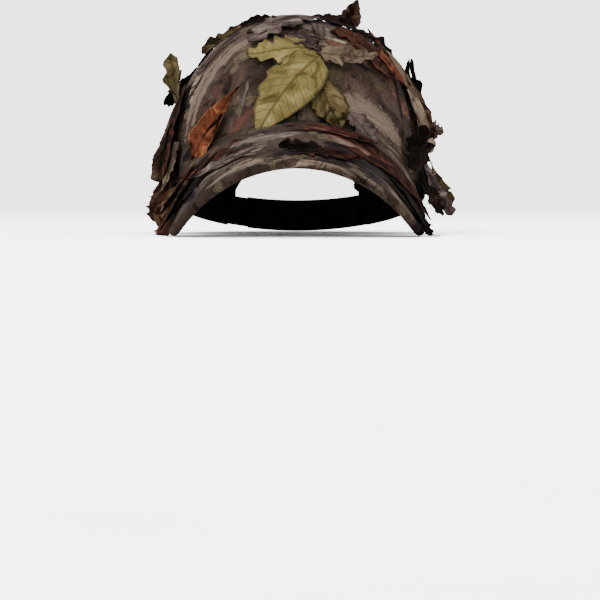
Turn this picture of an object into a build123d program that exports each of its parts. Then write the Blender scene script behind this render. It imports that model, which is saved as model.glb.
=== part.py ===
"""Leaf-covered camouflage cap: six sewn panels, a bent visor, a hook-and-loop strap and cut-cloth leaves.

Millimetres. +Z is up, the visor points along -Y and the wearer's left is +X. The cap stands as it does on
a table, on its visor's two corners and the strap at the back, so its rim plane rises towards the front.
"""

import os
from math import asin, cos, degrees, pi, radians, sin, sqrt, tan

from build123d import *

# Crown: a superellipsoid on a tilted rim plane
crown_half_width = 83.0
crown_half_length = 100.0
crown_depth = 112.0  # rim plane to top, along the crown's own axis
crown_exponent = 2.5  # 2 is a plain ellipsoid, and more is boxier
rim_tilt = 14.0
crown_y = 30.4
crown_z = 24.2
panel_thickness = 1.2
panel_count = 6
panel_angle = 360 / panel_count
seam_gap = 0.2
crown_sections = 9
steepest_section = 88.0  # the last section, so close to the top that the button covers it

# Layers, as offsets from the crown's outer face, (inner, outer)
buckram_layer = (-2.1, -1.35)
front_tape_layer = (-2.9, -2.3)
back_tape_layer = (-1.95, -1.35)
sweatband_layer = (-4.7, -3.5)
fixed_strap_layer = (-3.3, -2.1)
loop_pad_layer = (-2.0, -1.1)
hook_pad_layer = (-0.8, 0.1)
hook_strap_layer = (0.3, 1.6)
binding_layer = (0.15, 0.8)

tape_width = 12.0
tape_start = 15.0  # clear of the button's washer
tape_length = 120.0  # before the visor and the rim cut it off
sweatband_height = 32.0
buckram_height = 78.0

# Visor: a board bent over an elliptical arch that slopes down to the front
arch_half_width = 78.0
arch_depth = 85.0
visor_slope = 19.5
seam_y = crown_y - crown_half_length * cos(radians(rim_tilt))
seam_height = 65.8
visor_turn = 73.0  # how far round the arch the visor's corners reach
visor_reach = 70.0
visor_middle_y = seam_y + 5.0
visor_fullness = 0.2  # how much squarer than an ellipse the front edge is
outer_end = 119.0
inner_end = 58.0
inner_inset = -3.2
cover_thickness = 0.75
board_thickness = 2.0
ply_gap = 0.12
edge_width = 3.0
edge_thickness = 4.6

# Back opening and hook-and-loop closure
opening_half_width = 48.0
opening_height = 54.0
binding_width = 7.0
strap_width = 21.0
fixed_strap_bottom = -0.5
tail_bottom = 1.5
strap_hinge_x = -52.0
strap_gap = 0.5

# Button and eyelets
button_radius = 7.5
button_height = 4.2
shank_radius = 1.2
washer_radius = 6.0
eyelet_angle = 52.0  # up from the rim
eyelet_hole = 2.3
eyelet_flange = 4.0
eyelet_barrel = (1.5, 2.1)

# Leaves: cloth cutouts
leaf_thickness = 0.5
leaf_layers = [(1.1, 1.6), (2.3, 2.8), (3.5, 4.0)]
visor_leaf_layers = [3.4, 4.6]
lifted_root = 4.8  # a lifted leaf starts clear of the layers that lie flat

os.makedirs("parts", exist_ok=True)
rim_plane = Plane(
    origin=(0, crown_y, crown_z),
    x_dir=(1, 0, 0),
    z_dir=(0, sin(radians(rim_tilt)), cos(radians(rim_tilt))),
)
back_plane = Plane(origin=rim_plane.origin, x_dir=(-1, 0, 0), z_dir=rim_plane.y_dir)


def save(part, name):
    """Labels a finished piece and writes it."""
    part.label = name
    export_step(part, f"parts/{name}.step")


# ---------------------------------------------------------------- crown


def crown_point(around, up, offset=0.0):
    """A point of the crown: around from the front towards +X, up from the rim, both in degrees."""
    ring = cos(radians(up)) ** (2 / crown_exponent)
    height = (crown_depth + offset) * sin(radians(up)) ** (2 / crown_exponent)
    x = (crown_half_width + offset) * ring * sin(radians(around))
    y = -(crown_half_length + offset) * ring * cos(radians(around))
    return rim_plane.from_local_coords(Vector(x, y, height))


def crown_frame(around, up, offset=0.0, heading=0.0):
    """A plane on the crown, normal outwards, its y axis turned clockwise from upwards by heading."""
    step = 0.5
    origin = crown_point(around, up, offset)
    side = crown_point(around + step, up, offset) - crown_point(around - step, up, offset)
    rise = crown_point(around, up + step, offset) - crown_point(around, up - step, offset)
    normal = side.cross(rise).normalized()
    rise = normal.cross(side).normalized()
    side = side.normalized()
    turn = radians(heading)
    across = side * cos(turn) - rise * sin(turn)
    return Plane(origin=origin, x_dir=across, z_dir=normal)


def dome(offset):
    """The solid inside the crown's outer face, moved out by offset."""
    with BuildPart() as filled:
        for i in range(crown_sections + 1):
            up = radians(steepest_section * i / crown_sections)
            ring = cos(up) ** (2 / crown_exponent)
            height = (crown_depth + offset) * sin(up) ** (2 / crown_exponent)
            with BuildSketch(rim_plane.offset(height)):
                Ellipse((crown_half_width + offset) * ring, (crown_half_length + offset) * ring)
        loft()
    return filled.part


def crown_layer(layer):
    """The shell between two offsets from the crown's outer face."""
    with BuildPart() as shell:
        add(dome(layer[1]))
        add(dome(layer[0]), mode=Mode.SUBTRACT)
    return shell.part


def wedge(middle):
    """The sector of one panel, short of each seam by half the seam gap."""
    reach = 260.0
    half = radians(panel_angle / 2)
    apex = seam_gap / 2 / sin(half)
    with BuildPart() as sector:
        with BuildSketch(rim_plane.offset(-20)):
            with BuildLine():
                ends = [radians(middle) - half, radians(middle) + half]
                start = (apex * sin(radians(middle)), -apex * cos(radians(middle)))
                tips = [(reach * sin(end), -reach * cos(end)) for end in ends]
                Polyline(start, *tips, close=True)
            make_face()
        extrude(amount=crown_depth + 40)
    return sector.part


def arch_top(y):
    return seam_height + tan(radians(visor_slope)) * (y - seam_y)


def arch_tool(offset):
    """Everything under the visor's arch, moved out by offset, as far back as the visor's ends."""
    front, back = -170.0, 8.0
    slope = radians(visor_slope)
    with BuildPart() as tool:
        centre_z = arch_top(front) - arch_depth
        with BuildSketch(Plane(origin=(0, front, centre_z), x_dir=(1, 0, 0), z_dir=(0, -1, 0))):
            Ellipse(arch_half_width + offset, arch_depth + offset)
        extrude(amount=(back - front) / cos(slope), dir=(0, cos(slope), sin(slope)))
    return tool.part


def opening_tool(margin):
    """The half-moon at the back, wider by margin, cut straight through the wall."""
    with BuildPart() as tool:
        with BuildSketch(back_plane):
            Ellipse(opening_half_width + margin, opening_height + margin)
        extrude(amount=120)
    return tool.part


panel_middles = {
    "front_left": 30,
    "front_right": -30,
    "side_left": 90,
    "side_right": -90,
    "rear_left": 150,
    "rear_right": -150,
}
panel_shell = crown_layer((-panel_thickness, 0.0))
under_arch = arch_tool(board_thickness / 2 + cover_thickness + 2 * ply_gap)
back_opening = opening_tool(0)
top_plane = rim_plane.offset(crown_depth)

with BuildPart() as shank_hole:
    with BuildSketch(top_plane.offset(-8)):
        Circle(shank_radius + 0.3)
    extrude(amount=16)

for side, middle in panel_middles.items():
    with BuildPart() as panel:
        add(panel_shell)
        add(wedge(middle), mode=Mode.INTERSECT)
        add(under_arch, mode=Mode.SUBTRACT)
        add(back_opening, mode=Mode.SUBTRACT)
        add(shank_hole.part, mode=Mode.SUBTRACT)
        with BuildSketch(crown_frame(middle, eyelet_angle)):
            Circle(eyelet_hole)
        extrude(amount=6, both=True, mode=Mode.SUBTRACT)
    save(panel.part, f"crown_panel_{side}")

buckram_shell = crown_layer(buckram_layer)
for side in ("front_left", "front_right"):
    middle = panel_middles[side]
    with BuildPart() as buckram:
        add(buckram_shell)
        add(wedge(middle), mode=Mode.INTERSECT)
        add(under_arch, mode=Mode.SUBTRACT)
        with BuildSketch(rim_plane.offset(buckram_height)):
            Rectangle(300, 300)
        extrude(amount=60, mode=Mode.SUBTRACT)
        with BuildSketch(crown_frame(middle, eyelet_angle)):
            Circle(eyelet_hole)
        extrude(amount=6, both=True, mode=Mode.SUBTRACT)
    save(buckram.part, f"buckram_{side}")

tape_names = {
    0: "front",
    60: "front_left",
    -60: "front_right",
    120: "rear_left",
    -120: "rear_right",
    180: "rear",
}
front_tape_shell = crown_layer(front_tape_layer)
back_tape_shell = crown_layer(back_tape_layer)
for seam, side in tape_names.items():
    with BuildPart() as tape:
        add(front_tape_shell if abs(seam) <= 60 else back_tape_shell)
        along = radians(seam)
        tape_middle = tape_start + tape_length / 2
        with BuildSketch(rim_plane.offset(-10)):
            with Locations((tape_middle * sin(along), -tape_middle * cos(along))):
                Rectangle(tape_width, tape_length, rotation=seam)
        extrude(amount=crown_depth + 20, mode=Mode.INTERSECT)
        add(under_arch, mode=Mode.SUBTRACT)
        add(opening_tool(0.5), mode=Mode.SUBTRACT)
    save(tape.part, f"seam_tape_{side}")

with BuildPart() as sweatband:
    add(crown_layer(sweatband_layer))
    with BuildSketch(rim_plane.offset(sweatband_height)):
        Rectangle(300, 300)
    extrude(amount=100, mode=Mode.SUBTRACT)
    with BuildSketch(rim_plane.offset(-1)):
        Rectangle(300, 300)
    extrude(amount=1.4, mode=Mode.SUBTRACT)
    add(arch_tool(-2.5), mode=Mode.SUBTRACT)
    add(opening_tool(6), mode=Mode.SUBTRACT)
save(sweatband.part, "sweatband")

with BuildPart() as opening_binding:
    add(crown_layer(binding_layer))
    add(opening_tool(binding_width), mode=Mode.INTERSECT)
    add(opening_tool(0.4), mode=Mode.SUBTRACT)
    with BuildSketch(rim_plane.offset(-1)):
        Rectangle(300, 300)
    extrude(amount=strap_width + 4, mode=Mode.SUBTRACT)
save(opening_binding.part, "rear_opening_binding")


# ---------------------------------------------------------------- top button and eyelets

with BuildPart() as button:
    with BuildSketch(top_plane.offset(0.25)):
        Circle(button_radius)
    extrude(amount=button_height)
    fillet(button.faces().sort_by(Axis(rim_plane.origin, rim_plane.z_dir))[-1].edges(), button_height * 0.8)
    with BuildSketch(top_plane.offset(0.3)):
        Circle(shank_radius)
    extrude(amount=-5.5)
save(button.part, "button")

with BuildPart() as washer:
    with BuildSketch(top_plane.offset(-4.4)):
        Circle(washer_radius)
        Circle(shank_radius + 0.15, mode=Mode.SUBTRACT)
    extrude(amount=0.8)
save(washer.part, "button_washer")

with BuildPart() as eyelets:
    for middle in panel_middles.values():
        depth = 2.6 if abs(middle) == 30 else 1.7
        spot = crown_frame(middle, eyelet_angle)
        with BuildSketch(spot.offset(0.2)):
            Circle(eyelet_flange)
            Circle(eyelet_barrel[0], mode=Mode.SUBTRACT)
        extrude(amount=0.6)
        with BuildSketch(spot.offset(0.4)):
            Circle(eyelet_barrel[1])
            Circle(eyelet_barrel[0], mode=Mode.SUBTRACT)
        extrude(amount=-depth - 0.4)
save(eyelets.part, "eyelets")


# ---------------------------------------------------------------- visor


def arch_point(turn, y, offset):
    """A point of the visor's arch, turn degrees round it, moved out along its normal by offset."""
    slope = tan(radians(visor_slope))
    s, c = sin(radians(turn)), cos(radians(turn))
    normal = Vector(arch_depth * s, -slope * arch_half_width * c, arch_half_width * c).normalized()
    return Vector(arch_half_width * s, y, arch_top(y) - arch_depth * (1 - c)) + normal * offset


def visor_point(across, out, offset):
    """A point of the visor: across from -1 to 1, out from 0 at the crown to 1 at the front edge."""
    inner = radians(across * inner_end)
    x = (crown_half_width + inner_inset) * sin(inner)
    inner_turn = degrees(asin(x / arch_half_width))
    rim_y = -(crown_half_length + inner_inset) * cos(inner)
    tilt, slope = radians(rim_tilt), tan(radians(visor_slope))
    level_y = crown_y + rim_y * cos(tilt)
    drop = arch_depth * (1 - cos(radians(inner_turn)))
    lift = (arch_top(level_y) - drop - crown_z + rim_y * sin(tilt)) / (cos(tilt) - slope * sin(tilt))
    inner_y = level_y + lift * sin(tilt)
    outer = radians(across * outer_end)
    outer_turn = visor_turn * sin(outer)
    outer_y = visor_middle_y - visor_reach * cos(outer) * (1 + visor_fullness * sin(outer) ** 2)
    turn = inner_turn + (outer_turn - inner_turn) * out
    return arch_point(turn, inner_y + (outer_y - inner_y) * out, offset)


def visor_ply(bottom, thickness, out_from=0.0, out_to=1.0, rows=5):
    """One layer of the visor, from its bottom face's offset up by its thickness."""
    columns = 33
    grid = []
    for i in range(columns):
        across = -1 + 2 * i / (columns - 1)
        outs = [out_from + (out_to - out_from) * j / (rows - 1) for j in range(rows)]
        grid.append([visor_point(across, out, bottom) for out in outs])
    face = Face.make_surface_from_array_of_points(grid)
    upwards = 1 if face.normal_at(face.center()).Z > 0 else -1
    with BuildPart() as ply:
        thicken(face, amount=thickness * upwards)
    return ply.part


board_bottom = -board_thickness / 2
save(visor_ply(board_bottom, board_thickness), "visor_board")
save(visor_ply(-board_bottom + ply_gap, cover_thickness), "visor_top_cover")
save(visor_ply(board_bottom - ply_gap - cover_thickness, cover_thickness), "visor_under_cover")
visor_length = (visor_point(0, 1, 0) - visor_point(0, 0, 0)).length
edge_share = edge_width / visor_length
edge = visor_ply(-edge_thickness / 2, edge_thickness, 1.004, 1.004 + edge_share, rows=3)
save(edge, "visor_edge_binding")


# ---------------------------------------------------------------- back strap


def strap_piece(layer, x_from, x_to, bottom, width):
    """A length of webbing round the back of the crown, in one layer."""
    with BuildPart() as strap:
        with BuildSketch(back_plane):
            with Locations((-(x_from + x_to) / 2, bottom + width / 2)):
                Rectangle(x_to - x_from, width)
        extrude(amount=150)
        add(strap_shell(layer), mode=Mode.INTERSECT)
    return strap.part


def strap_shell(layer):
    """As crown_layer, but as an upright wall that also runs a little below the rim plane."""
    with BuildPart() as shell:
        with BuildSketch(rim_plane.offset(-2)):
            Ellipse(crown_half_width + layer[1], crown_half_length + layer[1])
            Ellipse(crown_half_width + layer[0], crown_half_length + layer[0], mode=Mode.SUBTRACT)
        extrude(amount=40)
    return shell.part


save(strap_piece(fixed_strap_layer, -34, 66, fixed_strap_bottom, strap_width + 1), "strap_loop_side")
save(strap_piece(loop_pad_layer, -32, 44, 1.0, strap_width - 2), "loop_pad")
tail_width = strap_width - 1
anchor_end = strap_hinge_x - strap_gap / 2
tail_root = strap_hinge_x + strap_gap / 2
save(strap_piece(hook_strap_layer, -68, anchor_end, tail_bottom, tail_width), "strap_hook_anchor")
save(strap_piece(hook_strap_layer, tail_root, 34, tail_bottom, tail_width), "strap_hook_tail")
save(strap_piece(hook_pad_layer, -28, 32, tail_bottom + 1, strap_width - 3), "hook_pad")


# ---------------------------------------------------------------- leaves


def leaf_outline(length, width, lobes, depth, sweep):
    """A leaf's outline about its middle, its tip at +y: teeth of a given depth, swept towards the tip."""
    sides = []
    for hand in (1, -1):
        side = []
        for i in range(1, 2 * lobes):
            along = i / (2 * lobes)
            if hand < 0:
                along = along ** 1.12
            half = width / 2 * sin(pi * along**0.8) ** 0.75
            is_tooth = i % 2 == 1
            reach = half if is_tooth else half * (1 - depth)
            forward = sweep / (2 * lobes) if is_tooth else 0
            side.append((hand * reach, length * (along + forward - 0.5)))
        sides.append(side)
    return [(0, -length / 2), *sides[0], (0, length / 2), *reversed(sides[1])]


shapes = {
    "broad": (5, 0.10, 0.5),
    "oak": (4, 0.42, 0.7),
    "maple": (3, 0.58, 0.95),
    "willow": (4, 0.12, 0.4),
    "torn": (6, 0.34, 0.9),
}

# Leaves that lie on the crown: shape, around, up, heading, length, width, layer
lying_leaves = {
    "leaf_front_olive": ("broad", -5, 17, 224, 64, 30, 1),
    "leaf_front_olive_upper": ("torn", -11, 33, 262, 40, 19, 0),
    "leaf_front_olive_lower": ("broad", 13, 13, 168, 32, 21, 0),
    "leaf_front_pale": ("oak", 22, 30, 104, 36, 17, 2),
    "leaf_front_rust": ("willow", -39, 14, 28, 50, 18, 1),
    "leaf_top_grey": ("torn", -12, 56, 250, 58, 28, 2),
    "leaf_shoulder_tan": ("willow", 63, 30, 196, 84, 24, 1),
    "leaf_side_left_bark": ("torn", 100, 26, 330, 58, 28, 2),
    "leaf_side_right_umber": ("oak", -70, 18, 8, 62, 26, 0),
    "leaf_side_right_rust": ("torn", -100, 28, 20, 58, 27, 2),
    "leaf_rear_left": ("oak", 142, 30, 190, 62, 28, 1),
    "leaf_rear_right": ("torn", -142, 28, 165, 60, 28, 1),
    "leaf_rear_middle": ("broad", 178, 46, 200, 52, 27, 2),
}

# Leaves whose tips stand off: shape, around, up, heading, length, width, tilt off the crown, twist
lifted_leaves = {
    "leaf_left_dark": ("maple", 52, 5, 345, 38, 26, 6, 8),
    "leaf_left_olive_hanging": ("oak", 84, 14, 178, 44, 22, 8, -12),
    "leaf_left_grey_hanging": ("torn", 64, 11, 140, 44, 15, 10, 20),
    "leaf_top_left_tip": ("maple", 34, 56, 24, 30, 20, 8, 10),
    "leaf_top_dark": ("maple", 8, 60, 355, 28, 22, 8, -6),
    "leaf_top_right_dark": ("oak", -38, 54, 335, 34, 20, 8, 10),
    "leaf_shoulder_right": ("maple", -66, 40, 320, 40, 22, 12, -12),
    "leaf_right_hanging": ("maple", -84, 22, 188, 44, 24, 7, 10),
    "leaf_right_low": ("oak", -74, 8, 186, 38, 22, 8, 8),
    "leaf_rear_left_tip": ("maple", 122, 48, 150, 40, 24, 10, 10),
    "leaf_rear_right_tip": ("oak", -122, 50, 210, 42, 24, 10, -10),
    "leaf_rear_low_right": ("maple", -122, 20, 190, 38, 24, 8, 8),
    "leaf_rear_low_left": ("torn", 124, 20, 176, 38, 22, 8, -8),
}

# Leaves on the visor: shape, across, out, heading (0 is towards the crown), length, width, layer
visor_leaves = {
    "leaf_visor_black": ("torn", -0.02, 0.40, 272, 34, 16, 1),
    "leaf_visor_umber": ("willow", 0.14, 0.62, 96, 40, 15, 0),
    "leaf_visor_left": ("broad", 0.42, 0.44, 118, 46, 20, 1),
    "leaf_visor_right": ("oak", -0.42, 0.45, 242, 46, 22, 0),
}

leaf_shells = [crown_layer(layer) for layer in leaf_layers]
above_visor = arch_tool(board_thickness / 2 + cover_thickness + 0.6)
for name, (shape, around, up, heading, length, width, layer) in lying_leaves.items():
    frame = crown_frame(around, up, leaf_layers[layer][0], heading)
    with BuildPart() as leaf:
        with BuildSketch(frame):
            with BuildLine():
                Polyline(*leaf_outline(length, width, *shapes[shape]), close=True)
            make_face()
        extrude(amount=16, both=True)
        add(leaf_shells[layer], mode=Mode.INTERSECT)
        if abs(around) < 75:
            add(above_visor, mode=Mode.SUBTRACT)
    save(leaf.part, name)

for name, (shape, around, up, heading, length, width, tilt, twist) in lifted_leaves.items():
    root = crown_frame(around, up, lifted_root, heading)
    along = root.y_dir * cos(radians(tilt)) + root.z_dir * sin(radians(tilt))
    rolled = root.x_dir * cos(radians(twist)) + root.x_dir.cross(along) * sin(radians(twist))
    frame = Plane(origin=root.origin + along * (length / 2), x_dir=rolled, z_dir=rolled.cross(along))
    with BuildPart() as leaf:
        with BuildSketch(frame):
            with BuildLine():
                Polyline(*leaf_outline(length, width, *shapes[shape]), close=True)
            make_face()
        extrude(amount=leaf_thickness)
    save(leaf.part, name)

for name, (shape, across, out, heading, length, width, layer) in visor_leaves.items():
    offset = visor_leaf_layers[layer]
    origin = visor_point(across, out, offset)
    inward = visor_point(across, out - 0.02, offset) - origin
    side = visor_point(across + 0.01, out, offset) - origin
    normal = side.cross(inward).normalized()
    inward = inward.normalized()
    level = inward.cross(normal)
    turn = radians(heading)
    frame = Plane(origin=origin, x_dir=level * cos(turn) - inward * sin(turn), z_dir=normal)
    with BuildPart() as leaf:
        with BuildSketch(frame):
            with BuildLine():
                Polyline(*leaf_outline(length, width, *shapes[shape]), close=True)
            make_face()
        extrude(amount=16, both=True)
        add(visor_ply(offset, leaf_thickness), mode=Mode.INTERSECT)
    save(leaf.part, name)
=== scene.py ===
import math
import random

import bpy
import numpy as np
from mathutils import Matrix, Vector, noise


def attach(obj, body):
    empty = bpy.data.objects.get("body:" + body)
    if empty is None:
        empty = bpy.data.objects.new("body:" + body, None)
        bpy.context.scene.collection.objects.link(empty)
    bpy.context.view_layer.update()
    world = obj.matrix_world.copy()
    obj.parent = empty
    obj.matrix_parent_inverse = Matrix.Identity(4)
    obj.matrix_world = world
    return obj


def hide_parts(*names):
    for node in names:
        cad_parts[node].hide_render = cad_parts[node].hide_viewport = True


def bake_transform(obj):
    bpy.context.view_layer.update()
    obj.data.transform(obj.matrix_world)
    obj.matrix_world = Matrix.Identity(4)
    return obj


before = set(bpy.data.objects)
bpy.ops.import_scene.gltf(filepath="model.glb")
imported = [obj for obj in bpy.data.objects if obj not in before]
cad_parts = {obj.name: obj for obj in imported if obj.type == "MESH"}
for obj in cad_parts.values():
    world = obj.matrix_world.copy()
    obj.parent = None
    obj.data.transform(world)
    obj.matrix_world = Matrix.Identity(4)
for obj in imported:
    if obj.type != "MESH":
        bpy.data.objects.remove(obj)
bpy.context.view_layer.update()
print("frame loaded,", len(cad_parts), "CAD nodes")

# The cap's own shape, in millimetres and degrees, as the CAD has it
crown = {"halfWidth": 83.0, "halfLength": 100.0, "depth": 112.0, "power": 2.5, "tilt": 14.0,
         "y": 30.4, "z": 24.2, "panels": 6}
visor = {"archHalfWidth": 78.0, "archDepth": 85.0, "slope": 19.5, "seamHeight": 65.8, "turn": 73.0,
         "reach": 70.0, "middle": 5.0, "fullness": 0.2, "outerEnd": 119.0, "innerEnd": 58.0, "inset": -3.2}
opening = {"halfWidth": 48.0, "height": 54.0}
tiltCos, tiltSin = math.cos(math.radians(crown["tilt"])), math.sin(math.radians(crown["tilt"]))
seamY = crown["y"] - crown["halfLength"] * tiltCos


# Surfaces: every one takes and gives arrays of points in millimetres

def crownToRow(x, y, h):
    # from the crown's own axes, h up from the rim, to the row frame
    return np.stack([x, crown["y"] + y * tiltCos + h * tiltSin, crown["z"] - y * tiltSin + h * tiltCos], -1)


def rowToCrown(points):
    y, z = points[..., 1] - crown["y"], points[..., 2] - crown["z"]
    return points[..., 0], y * tiltCos - z * tiltSin, y * tiltSin + z * tiltCos


def crownPoint(around, up, lift=0.0):
    # around from the front towards the wearer's left, up from the rim
    around, up = np.radians(around), np.radians(up)
    ring = np.cos(up) ** (2 / crown["power"])
    h = (crown["depth"] + lift) * np.sin(up) ** (2 / crown["power"])
    x = (crown["halfWidth"] + lift) * ring * np.sin(around)
    y = -(crown["halfLength"] + lift) * ring * np.cos(around)
    return crownToRow(x, y, h)


def ringRadius(up):
    # the crown's mean radius at a height, near enough for cloth and stitch spacing
    return np.cos(np.radians(up)) ** 0.8 * 92


def unit(vectors):
    return vectors / np.maximum(np.linalg.norm(vectors, axis=-1, keepdims=True), 1e-9)


def ontoCrown(points, lift=0.0):
    # the crown's surface along the ray from the middle of the rim, raised by lift, and its normal
    x, y, h = rowToCrown(points)
    above = np.maximum(h, 0.01)
    ring = np.sqrt((x / crown["halfWidth"]) ** 2 + (y / crown["halfLength"]) ** 2)
    size = (ring ** crown["power"] + (above / crown["depth"]) ** crown["power"]) ** (1 / crown["power"])
    x, y, ring = x / size, y / size, np.maximum(ring / size, 1e-3)
    h = np.where(h > 0, h / size, h)
    power = crown["power"]
    slope = ring ** (power - 2)
    gradient = np.stack([slope * x / crown["halfWidth"] ** 2, slope * y / crown["halfLength"] ** 2,
                         np.maximum(h, 0) ** (power - 1) / crown["depth"] ** power], -1)
    gradient = unit(gradient)
    normal = np.stack([gradient[..., 0], gradient[..., 1] * tiltCos + gradient[..., 2] * tiltSin,
                       -gradient[..., 1] * tiltSin + gradient[..., 2] * tiltCos], -1)
    return crownToRow(x, y, h) + normal * np.asarray(lift)[..., None], normal


def seamTurn(angle):
    # the panels are sectors of equal angle seen from above, which the long oval shifts a little
    return math.degrees(math.atan2(math.sin(math.radians(angle)) * crown["halfLength"],
                                   math.cos(math.radians(angle)) * crown["halfWidth"]))


def archTop(y):
    return visor["seamHeight"] + math.tan(math.radians(visor["slope"])) * (y - seamY)


def ontoVisor(points, lift=0.0):
    # the visor's arch straight above or below each point, raised by lift, and its normal
    turn = np.arcsin(np.clip(points[..., 0] / visor["archHalfWidth"], -0.985, 0.985))
    slope = math.tan(math.radians(visor["slope"]))
    normal = unit(np.stack([visor["archDepth"] * np.sin(turn),
                            -slope * visor["archHalfWidth"] * np.cos(turn),
                            visor["archHalfWidth"] * np.cos(turn)], -1))
    base = np.stack([visor["archHalfWidth"] * np.sin(turn), points[..., 1],
                     archTop(points[..., 1]) - visor["archDepth"] * (1 - np.cos(turn))], -1)
    return base + normal * np.asarray(lift)[..., None], normal


def visorPoint(across, out, lift=0.0):
    # across from -1 to 1, out from 0 at the crown to 1 at the front edge
    across, out = np.broadcast_arrays(np.asarray(across, float), np.asarray(out, float))
    inner = np.radians(across * visor["innerEnd"])
    x = (crown["halfWidth"] + visor["inset"]) * np.sin(inner)
    innerTurn = np.degrees(np.arcsin(x / visor["archHalfWidth"]))
    rimY = -(crown["halfLength"] + visor["inset"]) * np.cos(inner)
    slope = math.tan(math.radians(visor["slope"]))
    levelY = crown["y"] + rimY * tiltCos
    drop = visor["archDepth"] * (1 - np.cos(np.radians(innerTurn)))
    rise = (archTop(levelY) - drop - crown["z"] + rimY * tiltSin) / (tiltCos - slope * tiltSin)
    innerY = levelY + rise * tiltSin
    outer = np.radians(across * visor["outerEnd"])
    outerTurn = visor["turn"] * np.sin(outer)
    reach = visor["reach"] * (1 + visor["fullness"] * np.sin(outer) ** 2)
    outerY = seamY + visor["middle"] - reach * np.cos(outer)
    turn = innerTurn + (outerTurn - innerTurn) * out
    y = innerY + (outerY - innerY) * out
    flat = np.stack([visor["archHalfWidth"] * np.sin(np.radians(turn)), y, y * 0], -1)
    return ontoVisor(flat, lift)[0]


def crownBottom(around):
    # how far up the crown's lower edge is: on the rim, on the visor, or over the back opening
    low, high = 0.0, 60.0
    for _ in range(24):
        up = (low + high) / 2
        x, y, z = crownPoint(around, up)
        if abs(x) < visor["archHalfWidth"] * 0.985 and y < 8:
            free = z > ontoVisor(np.array([x, y, z]), 2.1)[0][2] + 0.4 * (abs(x) > 60)
        elif abs(around) > 90:
            across, _, h = rowToCrown(np.array([x, y, z]))
            free = (across / opening["halfWidth"]) ** 2 + (h / opening["height"]) ** 2 > 1
        else:
            free = True
        low, high = (low, up) if free else (up, high)
    return high if high > 0.01 else 0.0


def wander(points, size, seed):
    # smooth noise from -1 to 1 at each point, its lumps about size millimetres across
    flat = points.reshape(-1, 3) / size
    values = [noise.noise(Vector(p) + Vector((seed * 7.3, seed * 3.1, -seed * 5.7))) for p in flat]
    return np.array(values).reshape(points.shape[:-1])


# Meshes

def clothArea(obj):
    return float(sum(p.area for p in obj.data.polygons))


def runAlong(points):
    # how far along a line of points each one is
    return np.concatenate([[0], np.cumsum(np.linalg.norm(np.diff(points, axis=0), axis=1))])


def deselectAll():
    for obj in bpy.context.selected_objects:
        obj.select_set(False)


def clothGrid(name, points, uv, attributes=None):
    # a grid of rows and columns as one smooth cloth face; uv is in hundredths of a metre
    rows, columns = points.shape[:2]
    order = np.arange(rows * columns).reshape(rows, columns)
    faces = [(order[i, j], order[i, j + 1], order[i + 1, j + 1], order[i + 1, j])
             for i in range(rows - 1) for j in range(columns - 1)]
    mesh = bpy.data.meshes.new(name)
    mesh.from_pydata((points.reshape(-1, 3) * 0.001).tolist(), [], [tuple(int(v) for v in f) for f in faces])
    layer = mesh.uv_layers.new(name="cloth")
    flatUv = uv.reshape(-1, 2)
    corners = np.zeros(len(mesh.loops), np.int32)
    mesh.loops.foreach_get("vertex_index", corners)
    layer.data.foreach_set("uv", flatUv[corners].astype(np.float32).ravel())
    for key, values in (attributes or {}).items():
        attribute = mesh.attributes.new(key, "FLOAT", "POINT")
        attribute.data.foreach_set("value", values.astype(np.float32).ravel())
    mesh.polygons.foreach_set("use_smooth", [True] * len(mesh.polygons))
    obj = bpy.data.objects.new(name, mesh)
    bpy.context.scene.collection.objects.link(obj)
    return obj


def applyModifiers(obj):
    deselectAll()
    bpy.context.view_layer.objects.active = obj
    obj.select_set(True)
    for modifier in list(obj.modifiers):
        bpy.ops.object.modifier_apply(modifier=modifier.name)
    obj.select_set(False)


def thicken(obj, thickness, backSlot=0):
    # the grid is the cloth's outer face, and its thickness goes inwards
    solid = obj.modifiers.new("clothThickness", "SOLIDIFY")
    solid.thickness = thickness * 0.001
    solid.offset = -1.0
    solid.material_offset = backSlot
    solid.material_offset_rim = backSlot
    applyModifiers(obj)


def finishPiece(obj, body="cap", nodes=()):
    if body:
        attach(obj, body)
    if nodes:
        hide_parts(*nodes)


def threadPiece(name, points, faces, nodes):
    # sewing thread as one smooth mesh
    mesh = bpy.data.meshes.new(name)
    mesh.from_pydata([tuple(p * 0.001) for p in points], [], faces)
    mesh.polygons.foreach_set("use_smooth", [True] * len(mesh.polygons))
    obj = bpy.data.objects.new(name, mesh)
    bpy.context.scene.collection.objects.link(obj)
    obj.data.materials.append(threadDark)
    finishPiece(obj, nodes=nodes)


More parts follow.
